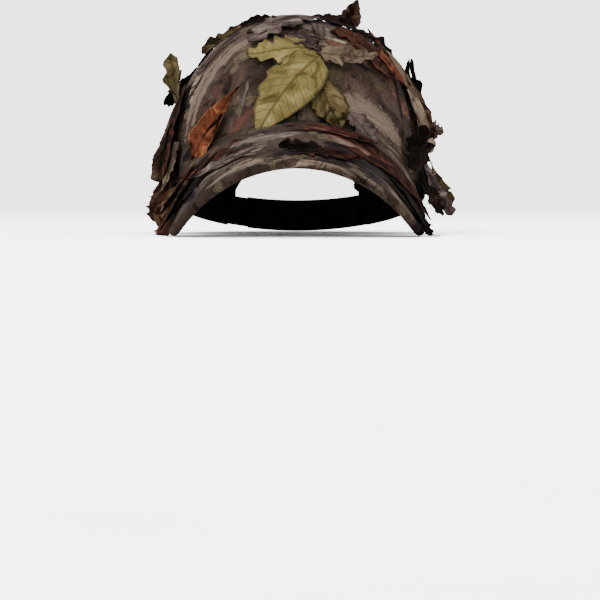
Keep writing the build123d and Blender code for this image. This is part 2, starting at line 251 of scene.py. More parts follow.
def stitchRow(paths, stitch):
    # thread stitches along paths of (points, normals): one small bent capsule, copied
    rings, sides = 5, 5
    along = np.linspace(-1, 1, rings)
    girth = np.sqrt(np.maximum(1 - (np.abs(along) * 0.98) ** 4, 0.02))
    angles = np.linspace(0, 2 * math.pi, sides, endpoint=False)
    points, faces = [], []
    for path, normals in paths:
        run = runAlong(path)
        for place in np.arange(stitch["pitch"] / 2, run[-1] - stitch["pitch"] / 2, stitch["pitch"]):
            centre = np.array([np.interp(place, run, path[:, k]) for k in range(3)])
            ahead = np.array([np.interp(place + 0.6, run, path[:, k]) for k in range(3)])
            normal = unit(np.array([np.interp(place, run, normals[:, k]) for k in range(3)]))
            way = unit(ahead - centre)
            side = np.cross(way, normal)
            base = len(points)
            for k in range(rings):
                bulge = normal * stitch["lift"] * (1 - along[k] ** 2)
                middle = centre + way * along[k] * stitch["length"] / 2 + bulge
                for a in angles:
                    radius = stitch["thread"] / 2 * girth[k]
                    points.append(middle + (side * math.cos(a) + normal * math.sin(a) * 0.8) * radius)
            for k in range(rings - 1):
                for j in range(sides):
                    a, b = base + k * sides + j, base + k * sides + (j + 1) % sides
                    faces.append((a, b, b + sides, a + sides))
            faces.append(tuple(base + j for j in reversed(range(sides))))
            faces.append(tuple(base + (rings - 1) * sides + j for j in range(sides)))
    threadPiece(stitch["name"], points, faces, [])


# Materials

def linear(hexColour):
    # sRGB hex to the linear colour that a shader takes
    parts = [int(hexColour[i:i + 2], 16) / 255 for i in (1, 3, 5)]
    return tuple(p / 12.92 if p <= 0.04045 else ((p + 0.055) / 1.055) ** 2.4 for p in parts) + (1.0,)


def add(tree, kind, *inputs, out=0, at=None, stops=(), **settings):
    # adds one node, sets or links its inputs in order, by place or by name, and gives one output;
    # stops are a ramp's (place, hex) pairs
    node = tree.nodes.new("ShaderNode" + kind)
    sockets = {}
    for key, value in settings.items():
        if hasattr(node, key):
            setattr(node, key, value)
        else:
            sockets[key.replace("_", " ")] = value
    if stops:
        elements = node.color_ramp.elements
        while len(elements) < len(stops):
            elements.new(0.5)
        for element, (place, colour) in zip(elements, stops):
            element.position = place
            element.color = linear(colour)
    for place, value in list(enumerate(inputs)) + list((at or {}).items()) + list(sockets.items()):
        if value is None:
            continue
        if isinstance(value, bpy.types.NodeSocket):
            tree.links.new(value, node.inputs[place])
        else:
            node.inputs[place].default_value = value
    return node.outputs[out] if node.outputs else node


colourMix = {"out": 2, "data_type": "RGBA"}  # a Mix node of colours, its inputs 6 and 7


def newMaterial(name):
    material = bpy.data.materials.new(name)
    material.use_nodes = True
    material.node_tree.nodes.clear()
    return material, material.node_tree


def clothShader(tree, colour, height, roughness=0.85, bump=0.25, distance=0.0004, sheen=0.25, depth=0.26,
                vivid=0.76):
    # a matt printed polyester: broad soft sheen from its fibres, and a little relief
    normal = add(tree, "Bump", bump, distance, Height=height)
    if depth:
        # the dye sinks into the fibres, which deepens every colour and its contrast
        colour = add(tree, "Gamma", colour, 1.16)
        colour = add(tree, "HueSaturation", 0.5, vivid, depth, 1.0, colour)
    shader = add(tree, "BsdfPrincipled", colour, Roughness=roughness, Normal=normal,
                 Sheen_Weight=sheen * 0.04, Sheen_Roughness=0.5, Specular_IOR_Level=0.0)
    add(tree, "OutputMaterial", shader)


def weave(tree, coords, threadMm):
    # plain weave: two crossing sets of threads
    scale = 100 / threadMm * math.pi
    parts = add(tree, "SeparateXYZ", coords)
    across = add(tree, "Math", add(tree, "Math", parts.node.outputs[0], scale, operation="MULTIPLY"),
                 operation="SINE")
    along = add(tree, "Math", add(tree, "Math", parts.node.outputs[1], scale, operation="MULTIPLY"),
                operation="SINE")
    return add(tree, "Math", across, along, operation="MULTIPLY")


def printedLeaf(tree, coords, leaf):
    # leaves scattered one to a cell, turned at random: gives where they are, their shade and their veins
    moved = add(tree, "VectorMath", coords, (leaf["shift"], leaf["shift"] * 0.7, 0), operation="ADD")
    bent = add(tree, "TexNoise", moved, noise_dimensions="2D", Scale=leaf["ripple"], Detail=2.0, out=1)
    bent = add(tree, "VectorMath", bent, (0.5, 0.5, 0.5), operation="SUBTRACT")
    bent = add(tree, "VectorMath", bent, operation="SCALE", Scale=leaf["rippleSize"])
    moved = add(tree, "VectorMath", moved, bent, operation="ADD")
    cells = add(tree, "TexVoronoi", moved, voronoi_dimensions="2D", Scale=100 / leaf["cell"], Randomness=1.0)
    chance = add(tree, "SeparateColor", cells.node.outputs["Color"])
    local = add(tree, "VectorMath", moved, cells.node.outputs["Position"], operation="SUBTRACT")
    angle = add(tree, "Math", chance.node.outputs[0], 6.283, operation="MULTIPLY")
    local = add(tree, "VectorRotate", local, rotation_type="Z_AXIS", Angle=angle)
    parts = add(tree, "SeparateXYZ", local)
    along = add(tree, "Math", parts.node.outputs[0], 100 / leaf["length"] * 2, operation="MULTIPLY")
    across = add(tree, "Math", parts.node.outputs[1], 100 / leaf["width"] * 2, operation="MULTIPLY")
    across = add(tree, "Math", across, operation="ABSOLUTE")
    lobes = add(tree, "Math", add(tree, "Math", along, leaf["lobes"] * math.pi, operation="MULTIPLY"),
                operation="SINE")
    lobes = add(tree, "Math", lobes, leaf["lobeDepth"], 1 - leaf["lobeDepth"], operation="MULTIPLY_ADD")
    body = add(tree, "Math", add(tree, "Math", along, along, operation="MULTIPLY"), -1.0, 1.0,
               operation="MULTIPLY_ADD")
    halfWidth = add(tree, "Math", body, lobes, operation="MULTIPLY")
    inside = add(tree, "Math", halfWidth, across, operation="SUBTRACT")
    mask = add(tree, "MapRange", inside, 0.0, leaf["edge"], 0.0, 1.0, interpolation_type="SMOOTHSTEP")
    rim = add(tree, "MapRange", inside, 0.0, 0.35, 1.0, 0.0)
    slant = add(tree, "Math", across, -0.45, along, operation="MULTIPLY_ADD")
    veins = add(tree, "Math", add(tree, "Math", slant, leaf["veins"], operation="MULTIPLY"), operation="SINE")
    veins = add(tree, "MapRange", veins, 0.86, 1.0, 0.0, 1.0)
    midrib = add(tree, "MapRange", across, 0.0, 0.09, 1.0, 0.0)
    veins = add(tree, "Math", veins, midrib, operation="MAXIMUM")
    return mask, chance.node.outputs[1], rim, veins, along


woodland = {
    "plum": "#4b3a31", "plumDark": "#2a1f1a", "taupe": "#6d5a4b",
    "pale": "#97816a", "paleDark": "#5d4b3c", "rust": "#7a4327",
    "night": "#17100d", "olive": "#5f5338", "oliveLight": "#7d6f4c",
}


def woodlandPrint(tree, coords, shade=1.0):
    # heat-transferred woodland print: blurred brown ground, bark streaks and scattered leaves
    ground = add(tree, "TexNoise", coords, noise_dimensions="2D", Scale=3.2, Detail=5.0, Roughness=0.6,
                 Distortion=0.8)
    colour = add(tree, "ValToRGB", ground, stops=[(0.30, woodland["plumDark"]), (0.46, woodland["plum"]),
                                                  (0.58, "#5a4438"), (0.75, woodland["taupe"])])
    # bark: noise drawn out along a slowly turning grain
    turned = add(tree, "Mapping", coords, Rotation=(0, 0, math.radians(52)), Scale=(1.3, 9.0, 1.0))
    bark = add(tree, "TexNoise", turned, noise_dimensions="2D", Scale=1.6, Detail=6.0, Roughness=0.68,
               Distortion=1.4)
    barkWhere = add(tree, "TexNoise", coords, noise_dimensions="2D", Scale=1.9, Detail=2.0, Distortion=0.6)
    barkWhere = add(tree, "MapRange", barkWhere, 0.54, 0.66, 0.0, 1.0, interpolation_type="SMOOTHSTEP")
    barkColour = add(tree, "ValToRGB", bark, stops=[(0.34, woodland["plumDark"]),
                                                    (0.45, woodland["paleDark"]), (0.58, woodland["pale"]),
                                                    (0.72, "#b09a80")])
    colour = add(tree, "Mix", barkWhere, at={6: colour, 7: barkColour}, **colourMix)
    kinds = [
        {"cell": 46, "length": 44, "width": 19, "lobes": 2.5, "lobeDepth": 0.22, "edge": 0.10, "veins": 16,
         "shift": 1.7, "ripple": 9, "rippleSize": 0.05,
         "colours": [(0.0, woodland["plumDark"]), (0.35, "#5d3a28"), (0.6, woodland["olive"]),
                     (0.85, woodland["taupe"])]},
        {"cell": 33, "length": 32, "width": 15, "lobes": 3.5, "lobeDepth": 0.34, "edge": 0.12, "veins": 14,
         "shift": 4.3, "ripple": 12, "rippleSize": 0.04,
         "colours": [(0.0, woodland["rust"]), (0.3, "#3b2a22"), (0.55, "#80694f"),
                     (0.8, woodland["oliveLight"])]},
    ]
    for kind in kinds:
        mask, chance, rim, veins, along = printedLeaf(tree, coords, kind)
        tone = add(tree, "ValToRGB", chance, stops=kind["colours"])
        lit = add(tree, "MapRange", along, -1.0, 1.0, 0.75, 1.25)
        lit = add(tree, "CombineColor", lit, lit, lit)
        tone = add(tree, "Mix", 1.0, at={6: tone, 7: lit}, blend_type="MULTIPLY", **colourMix)
        tone = add(tree, "Mix", add(tree, "Math", rim, 0.55, operation="MULTIPLY"),
                   at={6: tone, 7: linear(woodland["night"])}, **colourMix)
        tone = add(tree, "Mix", add(tree, "Math", veins, 0.5, operation="MULTIPLY"),
                   at={6: tone, 7: linear("#2c2019")}, **colourMix)
        some = add(tree, "Math", chance, 0.12, operation="GREATER_THAN")
        mask = add(tree, "Math", mask, some, operation="MULTIPLY")
        colour = add(tree, "Mix", add(tree, "Math", mask, 0.62, operation="MULTIPLY"),
                     at={6: colour, 7: tone}, **colourMix)
    # dark gaps between the printed leaves
    gaps = add(tree, "TexNoise", coords, noise_dimensions="2D", Scale=5.5, Detail=4.0, Roughness=0.62,
               Distortion=2.2)
    gaps = add(tree, "MapRange", gaps, 0.60, 0.68, 0.0, 0.6, interpolation_type="SMOOTHSTEP")
    colour = add(tree, "Mix", gaps, at={6: colour, 7: linear(woodland["night"])}, **colourMix)
    # fine random mottling; shade below 1 scales it down as painted shade over the whole print
    dustAndPaintedShade = add(tree, "TexNoise", coords, noise_dimensions="2D", Scale=60.0, Detail=3.0, Roughness=0.7)
    dustAndPaintedShade = add(tree, "MapRange", dustAndPaintedShade, 0.3, 0.7, 0.82 * shade, 1.16 * shade)
    dustAndPaintedShade = add(tree, "CombineColor", dustAndPaintedShade, dustAndPaintedShade, dustAndPaintedShade)
    return add(tree, "Mix", 1.0, at={6: colour, 7: dustAndPaintedShade}, blend_type="MULTIPLY", **colourMix)


def paintedStrokes(tree, coords, colour):
    # the broad printed strokes, and on the front one dark stroke of painted shadow, held as attributes
    # on the cloth: how strongly each covers, and the way its fibres run
    fibreAlong = add(tree, "Attribute", attribute_name="strokeAlong", out=2)
    fibreAcross = add(tree, "Attribute", attribute_name="strokeAcross", out=2)
    fibre = add(tree, "CombineXYZ", fibreAlong, fibreAcross)
    fibre = add(tree, "Mapping", fibre, Scale=(0.06, 0.55, 1.0))
    grain = add(tree, "TexNoise", fibre, noise_dimensions="2D", Scale=1.0, Detail=6.0, Roughness=0.7,
                Distortion=0.6)
    rough = add(tree, "TexNoise", coords, noise_dimensions="2D", Scale=14.0, Detail=5.0, Roughness=0.65,
                Distortion=0.5)
    looks = {
        "strokePale": [(0.26, "#44372d"), (0.38, "#73614e"), (0.55, "#86725d"), (0.76, "#a08d74")],
        "strokeRust": [(0.30, "#2a1511"), (0.46, "#5b3022"), (0.58, "#7f4a2c"), (0.74, "#ad6c3c")],
        "strokeDark": [(0.35, "#0e0a0a"), (0.50, "#1f1818"), (0.60, "#33292a"), (0.75, "#5a4c48")],
        "strokeGrey": [(0.32, "#3a302c"), (0.46, "#6a5b51"), (0.60, "#87776a"), (0.75, "#a29488")],
    }
    for key, stops in looks.items():
        cover = add(tree, "Attribute", attribute_name=key, out=2)
        ragged = add(tree, "Math", add(tree, "Math", rough, 0.5, operation="SUBTRACT"), 1.5, cover,
                     operation="MULTIPLY_ADD")
        mask = add(tree, "MapRange", ragged, 0.30, 0.64, 0.0, 0.92, interpolation_type="SMOOTHSTEP")
        edge = add(tree, "MapRange", ragged, 0.40, 0.75, 0.4, 0.0)
        tone = add(tree, "Mix", edge, at={6: add(tree, "ValToRGB", grain, stops=stops),
                                          7: linear("#241a15")}, **colourMix)
        colour = add(tree, "Mix", mask, at={6: colour, 7: tone}, **colourMix)
    return colour


# shade below 1 darkens the whole print as painted shade
def printedTwill(name, shade=1.0, painted=False, shift=(0.0, 0.0)):
    # brushed polyester twill: dyed all over by transfer print, so it is matt, with a fine diagonal rib
    material, tree = newMaterial(name)
    uv = add(tree, "UVMap", uv_map="cloth")
    coords = add(tree, "Mapping", uv, Location=(shift[0], shift[1], 0.0))
    colour = woodlandPrint(tree, coords, shade)
    if painted:
        colour = paintedStrokes(tree, coords, colour)
    slanted = add(tree, "Mapping", uv, Rotation=(0, 0, math.radians(45)))
    rib = weave(tree, slanted, 0.9)  # the real ribs, 0.5 mm apart, are drawn at 0.9 so that they show
    fuzz = add(tree, "TexNoise", coords, noise_dimensions="2D", Scale=45.0, Detail=5.0)
    height = add(tree, "Math", rib, 0.3, fuzz, operation="MULTIPLY_ADD")
    clothShader(tree, colour, height, 0.82, 0.3, 0.0005, 0.2)
    return material


def cutLeafCloth(name, look):
    # thin polyester leaf, laser cut: printed face with veins, its outline tinted with the look's edge colour
    # (the rust look's light outline is a painted highlight), satin where it curls
    material, tree = newMaterial(name)
    uv = add(tree, "UVMap", uv_map="cloth")
    parts = add(tree, "SeparateXYZ", uv)
    x = add(tree, "Math", parts.node.outputs[0], operation="ABSOLUTE")
    y = parts.node.outputs[1]
    chance = add(tree, "ObjectInfo", out=5)
    seedShift = add(tree, "CombineXYZ", chance, chance)
    seedShift = add(tree, "VectorMath", seedShift, operation="SCALE", Scale=37.0)
    coords = add(tree, "VectorMath", uv, seedShift, operation="ADD")
    mottle = add(tree, "TexNoise", coords, noise_dimensions="2D", Scale=8.0, Detail=6.0, Roughness=0.62,
                 Distortion=0.7)
    colour = add(tree, "ValToRGB", mottle, stops=look["colours"])
    blotch = add(tree, "TexNoise", coords, noise_dimensions="2D", Scale=4.5, Detail=4.0, Roughness=0.6,
                 Distortion=1.6)
    blotch = add(tree, "MapRange", blotch, look["blotchFrom"], look["blotchFrom"] + 0.07, 0.0, 0.9,
                 interpolation_type="SMOOTHSTEP")
    colour = add(tree, "Mix", blotch, at={6: colour, 7: linear(look["blotch"])}, **colourMix)
    # veins: a midrib, and side veins that leave it at about 40 degrees every few millimetres
    wobble = add(tree, "TexNoise", coords, noise_dimensions="2D", Scale=16.0, Detail=2.0)
    slant = add(tree, "Math", x, -0.85, y, operation="MULTIPLY_ADD")
    slant = add(tree, "Math", add(tree, "Math", wobble, 0.02, operation="MULTIPLY"), slant, operation="ADD")
    side = add(tree, "Math", add(tree, "Math", slant, 628 / look["veinGap"], operation="MULTIPLY"),
               operation="SINE")
    side = add(tree, "MapRange", side, 0.90, 1.0, 0.0, 0.8)
    midrib = add(tree, "MapRange", x, 0.003, 0.011, 1.0, 0.0)
    veins = add(tree, "Math", side, midrib, operation="MAXIMUM")
    colour = add(tree, "Mix", add(tree, "Math", veins, look["veinStrength"], operation="MULTIPLY"),
                 at={6: colour, 7: linear(look["vein"])}, **colourMix)
    # outline tint: dark on most looks, and light on the rust look as a painted highlight
    edge = add(tree, "Attribute", attribute_name="leafEdge", out=2)
    outlineTint = add(tree, "Math", add(tree, "Math", mottle, 0.5, operation="SUBTRACT"), 0.8, edge,
               operation="MULTIPLY_ADD")
    edgeMask = add(tree, "MapRange", outlineTint, 0.72, 0.98, 0.0, look["edgeStrength"],
                   interpolation_type="SMOOTHSTEP")
    colour = add(tree, "Mix", edgeMask, at={6: colour, 7: linear(look["edge"])}, **colourMix)
    varied = add(tree, "HueSaturation", 0.5, 1.0, add(tree, "MapRange", chance, 0.0, 1.0, 0.78, 1.15), 1.0,
                 colour)
    fuzz = add(tree, "TexNoise", coords, noise_dimensions="2D", Scale=60.0, Detail=4.0)
    height = add(tree, "Math", veins, -0.8, fuzz, operation="MULTIPLY_ADD")
    clothShader(tree, varied, height, 0.7, 0.35, 0.0005, 0.12, 0.25, look.get("vivid", 0.95))
    return material


def plainFabric(name, dark, light, threadMm, roughness=0.9, sheen=0.3):
    # dyed yarn, woven or knitted: its threads show as a regular relief with a little shade between them
    material, tree = newMaterial(name)
    uv = add(tree, "UVMap", uv_map="cloth")
    threads = weave(tree, uv, threadMm)
    cloudy = add(tree, "TexNoise", uv, noise_dimensions="2D", Scale=7.0, Detail=5.0, Roughness=0.6)
    shade = add(tree, "Math", threads, 0.16, cloudy, operation="MULTIPLY_ADD")
    colour = add(tree, "ValToRGB", shade, stops=[(0.3, dark), (0.7, light)])
    clothShader(tree, colour, threads, roughness, 0.5, 0.0004, sheen)
    return material


def sewingThread(name, colourHex):
    # spun polyester thread, two plies: dull with a slight twist
    material, tree = newMaterial(name)
    coords = add(tree, "TexCoord", out=3)
    twist = add(tree, "TexNoise", coords, Scale=1500.0, Detail=2.0)
    base = linear(colourHex)
    colour = add(tree, "Mix", twist, at={6: tuple(c * 0.6 for c in base[:3]) + (1.0,),
                                         7: tuple(min(c * 1.4, 1) for c in base[:3]) + (1.0,)}, **colourMix)
    clothShader(tree, colour, twist, 0.7, 0.3, 0.0002, 0.1)
    return material


leafLooks = {
    "olive": {"colours": [(0.30, "#5c5126"), (0.45, "#7f723c"), (0.58, "#8f8148"), (0.74, "#a59762")],
              "blotch": "#665b2c", "blotchFrom": 0.62, "vivid": 0.87, "vein": "#5b5026", "veinGap": 6.5,
              "veinStrength": 0.75, "edge": "#4a3d1d", "edgeStrength": 0.55},
    "oliveDark": {"colours": [(0.30, "#2f2a1a"), (0.48, "#574c31"), (0.62, "#6f6143"), (0.78, "#877855")],
                  "blotch": "#2a2213", "blotchFrom": 0.57, "vein": "#2e2a15", "veinGap": 6.0,
                  "veinStrength": 0.6, "edge": "#231b10", "edgeStrength": 0.6},
    "tan": {"colours": [(0.30, "#3f332a"), (0.45, "#6f5f50"), (0.58, "#877764"), (0.74, "#a3947d")],
            "blotch": "#43352b", "blotchFrom": 0.60, "vein": "#4a3b2f", "veinGap": 5.5,
            "veinStrength": 0.55, "edge": "#2d221b", "edgeStrength": 0.5},
    "grey": {"colours": [(0.30, "#30272a"), (0.46, "#594b49"), (0.60, "#74655f"), (0.76, "#93867c")],
             "blotch": "#2e2420", "blotchFrom": 0.58, "vein": "#332924", "veinGap": 5.5,
             "veinStrength": 0.5, "edge": "#1f1713", "edgeStrength": 0.6},
    "rust": {"colours": [(0.30, "#35190f"), (0.44, "#633722"), (0.58, "#82492c"), (0.76, "#ab7144")],
             "blotch": "#43241a", "blotchFrom": 0.58, "vivid": 0.94, "vein": "#3b1d13", "veinGap": 5.0,
             # the rust look's light edge colour is a painted highlight along the outline
             "veinStrength": 0.6, "edge": "#c08a55", "edgeStrength": 0.35},
    "rustDeep": {"colours": [(0.30, "#1d0f0c"), (0.44, "#3f231a"), (0.58, "#5a3424"), (0.78, "#804f33")],
                 "blotch": "#1d100d", "blotchFrom": 0.56, "vivid": 0.9, "vein": "#2a1510", "veinGap": 5.0,
                 "veinStrength": 0.5, "edge": "#180d0b", "edgeStrength": 0.6},
    "maroon": {"colours": [(0.30, "#1c0f0d"), (0.46, "#3c211b"), (0.60, "#553027"), (0.78, "#7a4a36")],
               "blotch": "#160c0b", "blotchFrom": 0.57, "vein": "#1a0e0c", "veinGap": 5.5,
               "veinStrength": 0.5, "edge": "#140b0a", "edgeStrength": 0.6},
    "umber": {"colours": [(0.30, "#251913"), (0.46, "#4a3527"), (0.60, "#66503c"), (0.78, "#88705a")],
              "blotch": "#1a110d", "blotchFrom": 0.56, "vein": "#20160f", "veinGap": 5.5,
              "veinStrength": 0.5, "edge": "#160f0c", "edgeStrength": 0.6},
    # night: near-black; on the leaves listed one by one it is painted shade, for shaded undersides and tips
    # against the light, and on the filling leaves a dark tone
    "night": {"colours": [(0.30, "#120d0b"), (0.50, "#241b18"), (0.64, "#3a2d26"), (0.82, "#5b4836")],
              "blotch": "#0e0a09", "blotchFrom": 0.60, "vein": "#2d211a", "veinGap": 6.0,
              "veinStrength": 0.3, "edge": "#080605", "edgeStrength": 0.6},
}

crownCloth = printedTwill("brushedTwillWoodlandPrint", painted=True)
# the visor, its underside and the binding (also on the button and round the opening) take the crown's print
# darker: painted shade
visorCloth = printedTwill("visorTwillWoodlandPrint", 0.78, painted=True, shift=(2.3, 1.1))
underCloth = printedTwill("underVisorTwillWoodlandPrint", 0.8, shift=(5.1, 3.7))
bindingCloth = printedTwill("biasCutTwillBinding", 0.72, shift=(9.3, 6.1))
liningCloth = plainFabric("bareTwillWrongSide", "#2f261f", "#4a3d32", 1.0)
bandCloth = plainFabric("sweatbandBrushedTwill", "#1d1814", "#352c24", 0.9)
tapeCloth = plainFabric("cottonSeamTape", "#221c16", "#3d3329", 1.1)
buckramCloth = plainFabric("sizedOpenBuckram", "#15120f", "#3a332b", 1.6, 0.8, 0.05)
webbingCloth = plainFabric("wovenNylonWebbing", "#1d1813", "#3f352a", 1.7, 0.6, 0.15)
loopPile = plainFabric("brushedNylonLoopPile", "#0c0b0a", "#2a2622", 1.3, 0.95, 0.6)
hookPile = plainFabric("mouldedNylonHooks", "#0b0a09", "#26221e", 1.6, 0.55, 0.0)
threadDark = sewingThread("brownPolyesterThread", "#3a2c20")
leafCloth = {key: cutLeafCloth("cutPolyesterLeaf_" + key, look) for key, look in leafLooks.items()}
# every leaf's back face is near-black as painted shade, for undersides the light does not reach
leafBack = plainFabric("leafWrongSidePaintedShade", "#14100d", "#2d251e", 0.8, 0.8, 0.1)
print("materials made:", len(bpy.data.materials))


# Crown: six panels, their edges turned under into the seams

panelWork = {"columns": 62, "rows": 84, "thickness": 0.9, "seamDip": 1.1, "seamWidth": 1.7, "pucker": 0.3,
             "sag": 0.7, "stitchFromSeam": 3.2, "top": 88.0, "flat": (0.100, 0.178)}
crownStrokes = [
    # kind, half-width, then the places (around, up) on the front of the crown that the stroke runs through
    ("strokePale", 5.0, [(-53, 12), (-50, 22), (-42, 33), (-30, 43), (-16, 50), (-6, 52)]),
    ("strokePale", 3.2, [(-58, 8), (-56, 20), (-50, 31), (-40, 41)]),
    ("strokePale", 8.2, [(14, 13), (24, 14), (34, 13), (43, 10), (50, 6)]),
    ("strokeGrey", 4.5, [(22, 5), (30, 4), (38, 2)]),
    ("strokeRust", 6.5, [(18, 40), (28, 37), (38, 34), (48, 26)]),
    ("strokeRust", 3.0, [(22, 46), (34, 42), (46, 34), (56, 24)]),
    ("strokeDark", 3.2, [(16, 36), (26, 33), (36, 29)]),
    ("strokeGrey", 7.5, [(-14, 52), (0, 56), (12, 52), (18, 46)]),
    # painted shadow under the lower edge of the top grey leaf
    ("strokeDark", 1.6, [(-30, 46), (-18, 45), (-8, 44)]),
    ("strokeDark", 1.8, [(-60, 30), (-46, 42), (-30, 52)]),
    ("strokeDark", 2.2, [(58, 34), (54, 22), (54, 10)]),
    ("strokeDark", 4.5, [(-58, 3), (-50, 4), (-44, 2)]),
    ("strokeRust", 3.6, [(-30, 4), (-24, 9), (-18, 12)]),
    ("strokePale", 1.8, [(-32, 3), (-22, 4), (-14, 4)]),
    ("strokeGrey", 1.5, [(-22, 22), (-24, 14), (-26, 8)]),
]


def scatterStrokes(count, seed):
    # more of the same over the sides and the back
    rng = random.Random(seed)
    strokes = []
    for _ in range(count):
        around, up = rng.uniform(66, 294), rng.uniform(6, 62)
        heading, bend = rng.uniform(0, 2 * math.pi), rng.uniform(-0.5, 0.5)
        kind = rng.choice(["strokePale", "strokePale", "strokeGrey", "strokeRust", "strokeDark"])
        places = []
        for _ in range(5):
            places.append((around, up))
            heading += bend
            around += 9 * math.cos(heading) / max(math.cos(math.radians(up)), 0.3)
            up = min(max(up + 9 * math.sin(heading), 3), 76)
        strokes.append((kind, rng.uniform(2.0, 6.5), places))
    return strokes


def paintStrokes(points, strokes, toSurface):
    # the cover of each kind of stroke at every point, and its nearest stroke's own coordinates
    flat = points.reshape(-1, 3)
    fields = {key: np.zeros(len(flat)) for key in ("strokePale", "strokeRust", "strokeDark", "strokeGrey")}
    alongField, acrossField, best = np.zeros(len(flat)), np.zeros(len(flat)), np.full(len(flat), 1e9)
    for index, (kind, halfWidth, places) in enumerate(strokes):
        marks = np.array(places, float)
        fine = np.linspace(0, len(marks) - 1, len(marks) * 6)
        route = toSurface(np.interp(fine, np.arange(len(marks)), marks[:, 0]),
                          np.interp(fine, np.arange(len(marks)), marks[:, 1]))
        run = runAlong(route)
        near = np.linalg.norm(flat[:, None, :] - route[None, :, :], axis=2)
        which = near.argmin(1)
        distance = near[np.arange(len(flat)), which]
        taper = np.sin(np.pi * np.clip(run[which] / run[-1], 0.06, 0.94)) ** 0.45
        cover = np.clip(1 - distance / (halfWidth * taper * 1.6), 0, 1) * 1.15
        fields[kind] = np.maximum(fields[kind], cover)
        closer = distance / halfWidth < best
        best = np.where(closer, distance / halfWidth, best)
        ahead = route[np.minimum(which + 1, len(route) - 1)] - route[np.maximum(which - 1, 0)]
        sideways = np.cross(unit(ahead), unit(flat - np.array([0, 30, 20.0])))
        signed = np.einsum("ij,ij->i", flat - route[which], sideways)
        alongField = np.where(closer, run[which] + index * 40, alongField)
        acrossField = np.where(closer, signed + index * 13, acrossField)
    shape = points.shape[:-1]
    fields.update({"strokeAlong": alongField, "strokeAcross": acrossField})
    return {key: values.reshape(shape) for key, values in fields.items()}


def makePanel(side, middle, strokes):
    ends = [seamTurn(middle - 30), seamTurn(middle + 30)]
    ends[1] += 360 if ends[1] < ends[0] else 0
    half, middle = (ends[1] - ends[0]) / 2, (ends[0] + ends[1]) / 2
    shares = np.linspace(-1, 1, panelWork["columns"])
    shares = np.sign(shares) * (1 - (1 - np.abs(shares)) ** 1.25)  # columns crowd towards the seams
    around = middle + shares * (half - 0.12)
    bottom = np.array([crownBottom(a) for a in around])
    climb = np.linspace(0, 1, panelWork["rows"])[:, None] ** 1.15
    up = bottom[None, :] + (panelWork["top"] - bottom[None, :]) * climb
    aroundGrid = np.broadcast_to(around[None, :], up.shape)
    flat = crownPoint(aroundGrid, up)
    ring = ringRadius(up)
    toSeam = np.radians(half - np.abs(aroundGrid - middle)) * ring
    lift = -panelWork["seamDip"] * np.exp(-(toSeam / panelWork["seamWidth"]) ** 2)
    pucker = panelWork["pucker"] * np.exp(-((toSeam - 4.6) / 1.6) ** 2)
    lift += pucker * (0.6 + 0.8 * wander(flat, 7.0, middle))
    lift += panelWork["sag"] * wander(flat, 46.0, middle * 0.7) * np.clip(toSeam / 18, 0, 1)
    lift += 0.16 * wander(flat, 11.0, middle * 1.3)
    points, _ = ontoCrown(flat, lift)
    topOf = crownPoint(aroundGrid, panelWork["top"])
    points = np.where((up > panelWork["top"] - 0.5)[..., None], topOf, points)
    uv = np.stack([np.radians(aroundGrid - middle) * ring / 100 + middle * 0.05,
                   np.cumsum(np.linalg.norm(np.diff(flat, axis=0, prepend=flat[:1]), axis=2),
                             axis=0) / 100], -1)
    panel = clothGrid("panel_" + side, points, uv, paintStrokes(points, strokes, crownPoint))
    panel.data.materials.append(crownCloth)
    panel.data.materials.append(liningCloth)
    thicken(panel, panelWork["thickness"], backSlot=1)
    finishPiece(panel, nodes=["crown_panel_" + side])


sides = {"front_left": 30, "front_right": -30, "side_left": 90, "side_right": -90, "rear_left": 150,
         "rear_right": -150}
strokes = crownStrokes + scatterStrokes(46, 11)
wrapped = strokes + [(k, w, [(a - 360, u) for a, u in places]) for k, w, places in strokes]
for side, middle in sides.items():
    makePanel(side, middle, wrapped)
print("crown panels made")


def seamStitches():
    # a row of stitches each side of every seam
    paths = []
    for k in range(crown["panels"]):
        seam = seamTurn(k * 60)
        for hand in (-1, 1):
            start = max(crownBottom(seam + hand * 3), 0.5)
            up = np.linspace(start + 0.8, 84, 90)
            ring = ringRadius(up)
            around = seam + hand * np.degrees(panelWork["stitchFromSeam"] / np.maximum(ring, 9))
            path, normal = ontoCrown(crownPoint(around, up), np.full(len(up), 0.12))
            paths.append((path, normal))
    return paths


stitchRow(seamStitches(), {"name": "crownTopStitching", "slot": "printed_cloth", "pitch": 3.4,
                           "length": 2.5, "thread": 0.42, "lift": 0.12})


# Inside: buckram, tapes and the sweatband

def innerPatch(name, nodes, arounds, ups, depth, thickness, material, wave):
    aroundGrid, upGrid = np.broadcast_arrays(arounds, ups)
    base = crownPoint(aroundGrid, upGrid)
    lift = np.full(base.shape[:-1], depth) + wave * wander(base, 14.0, depth)
    points, _ = ontoCrown(base, lift)
    ring = ringRadius(upGrid)
    uv = np.stack([np.radians(aroundGrid) * ring / 100, upGrid * 0.0175 * 1.1], -1)
    patch = clothGrid(name, points, uv)
    patch.data.materials.append(material)
    thicken(patch, thickness)
    finishPiece(patch, nodes=nodes)


buckram = {"halfAngle": 29.6, "top": 43.0, "clear": 0.5, "depth": -1.4, "thickness": 0.6,
           "flat": (0.098, 0.090)}
for side in ("front_left", "front_right"):
    around = sides[side] + np.linspace(-buckram["halfAngle"], buckram["halfAngle"], 40)
    bottoms = np.array([crownBottom(a) + buckram["clear"] for a in around])
    ups = bottoms + (buckram["top"] - bottoms) * np.linspace(0, 1, 40)[:, None]
    innerPatch("buckramStiffener_" + side, ["buckram_" + side], around[None, :], ups, buckram["depth"],
               buckram["thickness"], buckramCloth, 0.0)

